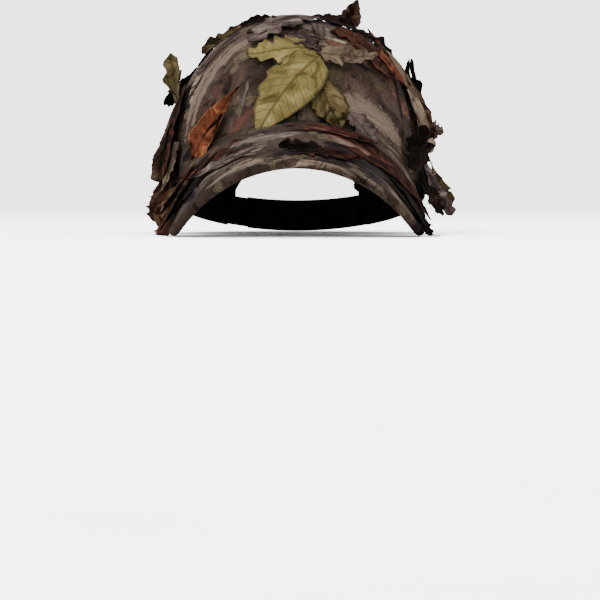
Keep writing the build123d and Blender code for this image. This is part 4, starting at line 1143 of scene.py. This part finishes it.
# place is (around, up) on the crown or (across, out) on the visor;
# the cad key is the node that a leaf stands for
leaves = {
    # the front
    "leafFrontOlive": {"cad": "leaf_front_olive", "kind": "broad", "place": (13, 33), "heading": 227,
                       "length": 70, "width": 34, "layer": 2.0, "rise": 2.0, "tone": "olive",
                       "smoothSide": "left", "bend": -12, "cup": 1.3, "curl": 5, "free": 0.88},
    "leafFrontOliveUpper": {"cad": "leaf_front_olive_upper", "kind": "torn", "place": (9, 36),
                            "heading": 264, "length": 42, "width": 25, "layer": 1.1, "rise": 3.2,
                            "tone": "olive", "curl": 25, "cup": 1.4, "stem": -0.05},
    "leafFrontOliveLower": {"cad": "leaf_front_olive_lower", "kind": "broad", "place": (10, 20),
                            "heading": 160, "length": 33, "width": 24, "layer": 1.1, "rise": 1.5,
                            "tone": "oliveDark", "curl": 8, "stem": -0.1},
    "leafFrontPale": {"cad": "leaf_front_pale", "kind": "oak", "place": (9, 32), "heading": 96,
                      "length": 37, "width": 19, "layer": 3.0, "rise": 5.5, "tone": "tan", "curl": 20,
                      "cup": 1.5, "free": 0.6},
    "leafFrontRust": {"cad": "leaf_front_rust", "kind": "spear", "place": (-51, 2), "heading": 50,
                      "length": 57, "width": 27, "layer": 2.0, "rise": 4.0, "tone": "rust", "curl": 10,
                      "cup": 2.0, "crease": 1.2},
    "leafFrontRustSmall": {"kind": "spear", "place": (-45, 3), "heading": 50, "length": 30, "width": 12,
                           "layer": 1.2, "rise": 3.0, "tone": "maroon", "curl": 14},
    "leafTopGrey": {"cad": "leaf_top_grey", "kind": "torn", "place": (22, 66), "heading": 250,
                    "length": 62, "width": 30, "layer": 1.8, "rise": 1.6, "tone": "grey", "curl": 12,
                    "free": 0.92},
    "leafTopTwig": {"kind": "strip", "place": (12, 52), "heading": 186, "length": 24, "width": 8,
                    "layer": 3.4, "rise": 1.0, "tone": "grey", "curl": 8},
    "leafFrontShade": {"kind": "oak", "place": (-6, 46), "heading": 130, "length": 30, "width": 15,
                       "layer": 1.0, "rise": 1.0, "tone": "grey", "curl": 6},
    "leafUpperRust": {"kind": "torn", "place": (26, 52), "heading": 142, "length": 50, "width": 32,
                      "layer": 1.2, "rise": 1.5, "tone": "rustDeep", "curl": 10, "stem": -0.1,
                      "crumple": 1.2},
    "leafUpperRustEdge": {"kind": "willow", "place": (46, 44), "heading": 158, "length": 36, "width": 14,
                          "layer": 2.2, "rise": 2.0, "tone": "rust", "curl": 10},
    "leafSeamCrumpled": {"kind": "torn", "place": (21, 11), "heading": 140, "length": 27, "width": 15,
                         "layer": 2.4, "rise": 3.5, "tone": "grey", "curl": 30, "crumple": 1.8},
    # along the top, tips that curl up against the light, painted near-black as shade
    "leafTopLeftTip": {"cad": "leaf_top_left_tip", "kind": "torn", "place": (48, 64), "heading": 128,
                       "length": 36, "width": 15, "layer": 0.8, "rise": 1.0, "tone": "night", "free": 0.9,
                       "twist": -58, "stem": -0.1, "crumple": 1.4},
    "leafTopDark": {"cad": "leaf_top_dark", "kind": "torn", "place": (6, 68), "heading": 84, "length": 34,
                    "width": 15, "layer": 0.8, "rise": 1.0, "tone": "night", "free": 0.9, "twist": -66,
                    "stem": -0.1, "crumple": 1.3},
    "leafTopTall": {"kind": "willow", "place": (54, 66), "heading": 52, "length": 24, "width": 15,
                    "layer": 1.6, "rise": 1.5, "tone": "umber", "free": 0.15, "curl": 80, "stem": -0.2},
    "leafTopDarkLeft": {"kind": "oak", "place": (-28, 68), "heading": 262, "length": 36, "width": 12,
                        "layer": 0.8, "rise": 0.8, "tone": "umber", "free": 0.9, "twist": 58, "stem": -0.1,
                        "crumple": 1.4},
    "leafTopDarkMiddle": {"kind": "torn", "place": (-4, 69), "heading": 276, "length": 34, "width": 11,
                          "layer": 0.8, "rise": 0.8, "tone": "night", "free": 0.9, "twist": 62,
                          "stem": -0.1, "crumple": 1.3},
    "leafTopRightDark": {"cad": "leaf_top_right_dark", "kind": "torn", "place": (-50, 60), "heading": 244,
                         "length": 32, "width": 16, "layer": 0.8, "rise": 1.2, "tone": "oliveDark",
                         "free": 0.8, "twist": 60, "stem": -0.1},
    "leafTopShadow": {"kind": "torn", "place": (26, 62), "heading": 108, "length": 34, "width": 18,
                      "layer": 0.9, "rise": 1.2, "tone": "night", "free": 0.9, "stem": -0.1, "crumple": 1.5},
    "leafTopCurl": {"kind": "spear", "place": (60, 42), "heading": 350, "length": 22, "width": 9,
                    "layer": 1.2, "rise": 0.8, "tone": "umber", "free": 0.5, "curl": 20, "twist": 50,
                    "stem": -0.2},
    "leafTopRightEdge": {"kind": "oak", "place": (62, 52), "heading": 172, "length": 40, "width": 12,
                         "layer": 0.8, "rise": 0.8, "tone": "rustDeep", "free": 0.9, "twist": -50,
                         "stem": -0.1},
    "leafTopLeftEdge": {"kind": "torn", "place": (-70, 40), "heading": 12, "length": 44, "width": 14,
                        "layer": 0.8, "rise": 0.6, "tone": "night", "free": 0.9, "twist": -50, "stem": -0.1},
    # the wearer's left
    "leafShoulderTan": {"cad": "leaf_shoulder_tan", "kind": "strip", "place": (62, 52), "heading": 173,
                        "length": 82, "width": 24, "layer": 2.4, "rise": 2.0, "tone": "tan", "curl": 6,
                        "twist": -14, "steps": 70},
    "leafLeftGap": {"kind": "torn", "place": (66, 44), "heading": 176, "length": 66, "width": 20,
                    "layer": 1.4, "rise": 1.5, "tone": "night", "curl": 8, "stem": -0.1},
    "leafLeftRidge": {"kind": "strip", "place": (76, 50), "heading": 178, "length": 66, "width": 16,
                      "layer": 2.6, "rise": 2.0, "tone": "umber", "twist": -44, "curl": 6, "stem": -0.1,
                      "steps": 60},
    "leafSideLeftBark": {"cad": "leaf_side_left_bark", "kind": "torn", "place": (96, 12), "heading": 345,
                         "length": 60, "width": 30, "layer": 3.2, "rise": 4.0, "tone": "umber", "curl": 20},
    "leafLeftDark": {"cad": "leaf_left_dark", "kind": "maple", "place": (59, 0.5), "heading": 352,
                     "length": 29, "width": 34, "layer": 4.2, "rise": 3.0, "tone": "night", "curl": 16,
                     "free": 0.5, "stem": -0.1, "crumple": 1.0, "twist": 42},
    "leafLeftOliveHanging": {"cad": "leaf_left_olive_hanging", "kind": "oak", "place": (84, 11),
                             "heading": 182, "length": 44, "width": 21, "layer": 2.0, "rise": 2.0,
                             "tone": "oliveDark", "curl": 2, "free": 0.25, "twist": -74, "stem": -0.1,
                             "crumple": 1.5},
    "leafLeftGreyHanging": {"cad": "leaf_left_grey_hanging", "kind": "oak", "place": (76, 4),
                            "heading": 176, "length": 34, "width": 15, "layer": 2.4, "rise": 2.0,
                            "tone": "umber", "curl": 12, "free": 0.4, "twist": -56, "stem": -0.1,
                            "crumple": 1.6},
    "leafLeftForked": {"kind": "strip", "place": (68, 5), "heading": 150, "length": 42, "width": 12,
                       "layer": 3.6, "rise": 3.0, "tone": "grey", "curl": 16, "free": 0.4, "twist": -60},
    "leafLeftFray": {"kind": "torn", "place": (84, 20), "heading": 130, "length": 18, "width": 12,
                     "layer": 3.4, "rise": 2.0, "tone": "grey", "curl": 40, "free": 0.3, "twist": -70,
                     "stem": -0.1},
    # the wearer's right
    "leafShoulderRight": {"cad": "leaf_shoulder_right", "kind": "oak", "place": (-78, 22), "heading": 2,
                          "length": 38, "width": 26, "layer": 1.6, "rise": 3, "tone": "oliveDark",
                          "free": 0.3, "curl": 12, "twist": -55, "stem": -0.1, "crumple": 1.2},
    "leafSideRightUmber": {"cad": "leaf_side_right_umber", "kind": "strip", "place": (-74, 34),
                           "heading": 182, "length": 70, "width": 26, "layer": 1.2, "rise": 3.5,
                           "tone": "umber", "curl": 10, "steps": 60, "twist": 30},
    "leafSideRightRust": {"cad": "leaf_side_right_rust", "kind": "torn", "place": (-84, 30),
                          "heading": 178, "length": 58, "width": 20, "layer": 2.0, "rise": 2.0,
                          "tone": "rust", "curl": 6, "twist": 34, "free": 0.6, "stem": -0.1},
    "leafRightHanging": {"cad": "leaf_right_hanging", "kind": "torn", "place": (-80, 20), "heading": 180,
                         "length": 44, "width": 14, "layer": 1.2, "rise": 1.2, "tone": "rustDeep",
                         "free": 0.6, "curl": 2, "twist": 66, "stem": -0.1, "crumple": 1.3},
    "leafRightLow": {"cad": "leaf_right_low", "kind": "oak", "place": (-80, 7), "heading": 182,
                     "length": 36, "width": 18, "layer": 1.8, "rise": 2.0, "tone": "rustDeep", "free": 0.4,
                     "curl": 4, "twist": 66, "stem": -0.1, "crumple": 1.4},
    "leafRightCorner": {"kind": "torn", "place": (-72, 3), "heading": 184, "length": 36, "width": 22,
                        "layer": 3.0, "rise": 2.0, "tone": "umber", "free": 0.4, "curl": 8, "twist": 50,
                        "stem": -0.1, "crumple": 1.4},
    "leafRightCornerRust": {"kind": "oak", "place": (-66, 3), "heading": 184, "length": 32, "width": 17,
                            "layer": 3.0, "rise": 2.0, "tone": "rustDeep", "free": 0.4, "curl": 2,
                            "twist": 30, "stem": -0.1, "crumple": 1.4},
    "leafLeftCorner": {"kind": "torn", "place": (70, 3), "heading": 176, "length": 32, "width": 20,
                       "layer": 3.0, "rise": 2.0, "tone": "night", "free": 0.4, "curl": 8, "twist": -50,
                       "stem": -0.1, "crumple": 1.4},
    "leafRightColumn": {"kind": "strip", "place": (-68, 30), "heading": 180, "length": 62, "width": 22,
                        "layer": 2.6, "rise": 2.0, "tone": "rustDeep", "curl": 8, "stem": -0.05,
                        "steps": 56, "crumple": 1.2},
    "leafRightColumnTan": {"kind": "torn", "place": (-62, 8), "heading": 196, "length": 34, "width": 20,
                           "layer": 3.2, "rise": 2.5, "tone": "tan", "curl": 22, "stem": -0.05,
                           "crumple": 1.4},
    "leafRightColumnDark": {"kind": "maple", "place": (-76, 20), "heading": 176, "length": 38, "width": 24,
                            "layer": 3.4, "rise": 2.0, "tone": "night", "curl": 24, "twist": 20,
                            "free": 0.5, "stem": -0.05},
    # the back
    "leafRearLeft": {"cad": "leaf_rear_left", "kind": "oak", "place": (140, 48), "heading": 188,
                     "length": 66, "width": 32, "layer": 1.6, "rise": 2.0, "tone": "olive", "curl": 10,
                     "free": 0.85},
    "leafRearRight": {"cad": "leaf_rear_right", "kind": "torn", "place": (-140, 46), "heading": 168,
                      "length": 64, "width": 32, "layer": 1.6, "rise": 2.0, "tone": "umber", "curl": 10,
                      "free": 0.85},
    "leafRearMiddle": {"cad": "leaf_rear_middle", "kind": "broad", "place": (176, 64), "heading": 190,
                       "length": 54, "width": 30, "layer": 1.2, "rise": 1.6, "tone": "oliveDark",
                       "curl": 6, "smoothSide": "right", "free": 0.9},
    "leafRearLeftTip": {"cad": "leaf_rear_left_tip", "kind": "maple", "place": (122, 50), "heading": 152,
                        "length": 42, "width": 26, "layer": 4.0, "rise": 3.0, "tone": "tan", "free": 0.6,
                        "curl": 24, "stem": -0.05},
    "leafRearRightTip": {"cad": "leaf_rear_right_tip", "kind": "oak", "place": (-122, 52), "heading": 208,
                         "length": 44, "width": 26, "layer": 4.0, "rise": 3.0, "tone": "rust", "free": 0.6,
                         "curl": 24, "stem": -0.05},
    "leafRearLowRight": {"cad": "leaf_rear_low_right", "kind": "maple", "place": (-122, 22),
                         "heading": 188, "length": 40, "width": 26, "layer": 4.0, "rise": 3.0,
                         "tone": "oliveDark", "free": 0.6, "curl": 20, "stem": -0.05},
    "leafRearLowLeft": {"cad": "leaf_rear_low_left", "kind": "torn", "place": (124, 22), "heading": 176,
                        "length": 40, "width": 26, "layer": 4.0, "rise": 3.0, "tone": "umber", "free": 0.6,
                        "curl": 20, "stem": -0.05},
    # the visor
    "leafVisorBlack": {"cad": "leaf_visor_black", "on": "visor", "kind": "torn", "place": (0.17, 0.74),
                       "heading": 268, "length": 40, "width": 15, "layer": 1.8, "rise": 1.4,
                       "tone": "night", "twist": 50, "stem": -0.1, "crumple": 1.2, "free": 0.8},
    "leafVisorUmber": {"cad": "leaf_visor_umber", "on": "visor", "kind": "torn", "place": (-0.04, 0.80),
                       "heading": 84, "length": 46, "width": 18, "layer": 1.6, "rise": 1.6,
                       "tone": "rustDeep", "curl": 12, "stem": -0.1},
    "leafVisorLeft": {"cad": "leaf_visor_left", "on": "visor", "kind": "broad", "place": (0.14, 0.34),
                      "heading": 84, "length": 72, "width": 38, "layer": 1.6, "rise": 1.8,
                      "tone": "maroon", "curl": 6, "bend": 12, "stem": -0.05, "steps": 56},
    "leafVisorLeftSmall": {"on": "visor", "kind": "willow", "place": (0.34, 0.66), "heading": 96,
                           "length": 50, "width": 24, "layer": 1.6, "rise": 1.6, "tone": "night",
                           "curl": 8, "stem": -0.05},
    "leafVisorLeftEdge": {"on": "visor", "kind": "torn", "place": (0.44, 0.60), "heading": 118,
                          "length": 54, "width": 24, "layer": 3.2, "rise": 2.0, "tone": "night",
                          "curl": 12, "stem": -0.05},
    "leafVisorMiddleRed": {"on": "visor", "kind": "strip", "place": (-0.10, 0.22), "heading": 84,
                           "length": 58, "width": 16, "layer": 1.4, "rise": 1.2, "tone": "maroon",
                           "curl": 6, "stem": -0.1},
    "leafVisorFarLeft": {"on": "visor", "kind": "oak", "place": (0.62, 0.30), "heading": 128, "length": 44,
                         "width": 24, "layer": 2.2, "rise": 2.0, "tone": "maroon", "curl": 14,
                         "stem": -0.05, "crumple": 1.2},
    "leafVisorLeftCorner": {"on": "visor", "kind": "torn", "place": (0.80, 0.50), "heading": 150,
                            "length": 30, "width": 16, "layer": 3.0, "rise": 2.0, "tone": "rustDeep",
                            "curl": 16, "stem": -0.05},
    "leafVisorRightCorner": {"on": "visor", "kind": "oak", "place": (-0.84, 0.52), "heading": 196,
                             "length": 32, "width": 18, "layer": 3.6, "rise": 3.0, "tone": "umber",
                             "curl": 26, "stem": -0.05},
    "leafVisorRightHangingA": {"on": "visor", "kind": "torn", "place": (-0.60, 0.82), "heading": 262,
                               "length": 34, "width": 15, "layer": 1.6, "rise": 1.5, "tone": "umber",
                               "twist": 48, "free": 0.8, "stem": -0.1, "crumple": 1.2},
    "leafVisorRightHangingB": {"on": "visor", "kind": "oak", "place": (-0.70, 0.66), "heading": 268,
                               "length": 36, "width": 17, "layer": 2.0, "rise": 2.0, "tone": "rustDeep",
                               "twist": 56, "free": 0.7, "stem": -0.1, "crumple": 1.3},
    "leafVisorRightHangingC": {"on": "visor", "kind": "torn", "place": (-0.80, 0.84), "heading": 264,
                               "length": 30, "width": 17, "layer": 1.8, "rise": 2.0, "tone": "tan",
                               "twist": 60, "free": 0.6, "stem": -0.1, "crumple": 1.3},
    "leafVisorRightHangingD": {"on": "visor", "kind": "strip", "place": (-0.66, 0.30), "heading": 262,
                               "length": 44, "width": 18, "layer": 2.6, "rise": 2.0, "tone": "umber",
                               "twist": 56, "free": 0.7, "stem": -0.1, "crumple": 1.3},
    "leafVisorLeftHanging": {"on": "visor", "kind": "torn", "place": (0.78, 0.74), "heading": 96,
                             "length": 28, "width": 13, "layer": 1.4, "rise": 1.4, "tone": "night",
                             "twist": -54, "free": 0.7, "stem": -0.1, "crumple": 1.3},
    "leafVisorRightNight": {"on": "visor", "kind": "torn", "place": (-0.52, 0.10), "heading": 226,
                            "length": 50, "width": 24, "layer": 1.2, "rise": 1.8, "tone": "night",
                            "curl": 8, "stem": -0.1},
    "leafVisorRight": {"cad": "leaf_visor_right", "on": "visor", "kind": "strip", "place": (-0.04, 0.66),
                       "heading": 284, "length": 60, "width": 18, "layer": 1.4, "rise": 1.2,
                       "tone": "grey", "curl": 6, "stem": -0.1},
    "leafVisorRightDark": {"on": "visor", "kind": "oak", "place": (-0.40, 0.52), "heading": 270,
                           "length": 44, "width": 34, "layer": 1.6, "rise": 1.6, "tone": "night",
                           "curl": 8, "stem": -0.1, "crumple": 1.2},
    "leafVisorRightMaroon": {"on": "visor", "kind": "torn", "place": (-0.20, 0.34), "heading": 276,
                             "length": 50, "width": 24, "layer": 1.2, "rise": 1.2, "tone": "maroon",
                             "curl": 8, "stem": -0.1},
    "leafVisorRightTan": {"on": "visor", "kind": "torn", "place": (-0.60, 0.40), "heading": 232,
                          "length": 44, "width": 20, "layer": 3.2, "rise": 2.0, "tone": "umber",
                          "curl": 12, "stem": -0.05, "crumple": 1.2},
    "leafVisorRightRust": {"on": "visor", "kind": "torn", "place": (-0.72, 0.30), "heading": 222,
                           "length": 40, "width": 20, "layer": 4.2, "rise": 2.5, "tone": "rustDeep",
                           "curl": 22, "stem": -0.05, "crumple": 1.4},
}


def fillingLeaves():
    # the rest of the covering over the sides and the back, in rows like the ones that were sewn by eye
    rng = random.Random(23)
    found = {}
    kinds = ["oak", "torn", "maple", "broad", "willow", "strip"]
    tones = ["umber", "night", "olive", "oliveDark", "tan", "grey", "rust", "rustDeep", "maroon"]
    places = [(a, u) for u, shift in ((8, 0), (26, 14), (44, 4)) for a in range(86 + shift, 276, 27)]
    for index, (around, up) in enumerate(places):
        if 150 < around < 210 and up < 40:
            continue  # the opening
        found["leafFill%02d" % index] = {
            "kind": rng.choice(kinds), "place": (around + rng.uniform(-5, 5), up + rng.uniform(-4, 4)),
            "heading": (rng.choice([rng.uniform(130, 230), rng.uniform(-50, 50)]) if up < 40
                        else rng.uniform(100, 260)),
            "length": rng.uniform(38, 58), "width": rng.uniform(20, 30), "layer": rng.uniform(1.0, 2.4),
            "rise": rng.uniform(1.5, 4.0), "tone": rng.choice(tones), "curl": rng.uniform(8, 30), "free": 0.7,
            "stem": -0.03, "crumple": rng.uniform(0.8, 1.6)}
    return found


leaves.update(fillingLeaves())
for name, leaf in leaves.items():
    growLeaf(name, leaf, [leaf["cad"]] if "cad" in leaf else [])
print("leaves made:", len(leaves))

for node in ("visor_board", "button_washer"):
    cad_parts[node].data.materials.clear()
boardPlastic, tree = newMaterial("mouldedPolyethyleneBoard")  # semi-matt, faintly cloudy
cloud = add(tree, "TexNoise", add(tree, "TexCoord", out=3), Scale=60.0, Detail=4.0)
clothShader(tree, add(tree, "ValToRGB", cloud, stops=[(0.3, "#232220"), (0.7, "#302e2b")]), cloud, 0.45,
            0.1, 0.0002, 0.0, 0)
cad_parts["visor_board"].data.materials.append(boardPlastic)
washerSteel, tree = newMaterial("stampedSteelWasher")  # zinc plated, lightly brushed by the press
grain = add(tree, "TexNoise", add(tree, "TexCoord", out=3), Scale=900.0, Detail=3.0)
washerBump = add(tree, "Bump", 0.2, 0.0001, Height=grain)
zinc = add(tree, "ValToRGB", grain, stops=[(0.3, "#8f9192"), (0.7, "#b4b6b7")])
washerShader = add(tree, "BsdfPrincipled", zinc, Metallic=1.0, Roughness=0.38, Normal=washerBump)
add(tree, "OutputMaterial", washerShader)
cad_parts["button_washer"].data.materials.append(washerSteel)


# Stage, light and camera

def makeStage():
    deselectAll()
    bpy.ops.mesh.primitive_plane_add(size=12)
    floor = bpy.context.active_object
    floor.name = "floor"
    material, tree = newMaterial("palePaperFloor")
    paper = add(tree, "TexNoise", add(tree, "TexCoord", out=3), Scale=30.0, Detail=3.0)
    clothShader(tree, add(tree, "ValToRGB", paper, stops=[(0.3, "#f2f2f2"), (0.7, "#f7f7f7")]), paper, 0.9,
                0.02, 0.0001, 0.0, 0)
    floor.data.materials.append(material)


def areaLight(name, settings):
    # a square softbox aimed at the crown's middle
    light = bpy.data.lights.new(name, "AREA")
    light.size, light.energy = settings["size"], settings["power"]
    obj = bpy.data.objects.new(name, light)
    bpy.context.scene.collection.objects.link(obj)
    obj.location = settings["place"]
    toCrown = Vector((0, 0, 0.06)) - Vector(settings["place"])
    obj.rotation_euler = toCrown.to_track_quat("-Z", "Y").to_euler()


makeStage()
studio = {
    "keySoftbox": {"place": (-0.9, -1.3, 1.5), "size": 1.1, "power": 95},
    "fillSoftbox": {"place": (1.3, -1.1, 0.9), "size": 1.2, "power": 30},
    "topSoftbox": {"place": (0, 0.3, 1.7), "size": 1.4, "power": 45},
}
for name, light in studio.items():
    areaLight(name, light)

roomLight = 3.3
world = bpy.data.worlds.new("paleRoom")
bpy.context.scene.world = world
world.use_nodes = True
world.node_tree.nodes["Background"].inputs[0].default_value = (1.0, 1.0, 1.0, 1.0)
world.node_tree.nodes["Background"].inputs[1].default_value = roomLight

cameraSettings = {"distance": 1.5, "height": 0.025, "lens": 139.0, "down": 2.6}
camera = bpy.data.objects.new("camera", bpy.data.cameras.new("camera"))
bpy.context.scene.collection.objects.link(camera)
camera.data.lens = cameraSettings["lens"]
camera.data.clip_end = 50
camera.location = (0.002, crown["y"] * 0.001 - cameraSettings["distance"], cameraSettings["height"])
camera.rotation_euler = (math.radians(90 - cameraSettings["down"]), 0, 0)
bpy.context.scene.camera = camera
print("stage, lights and camera made")
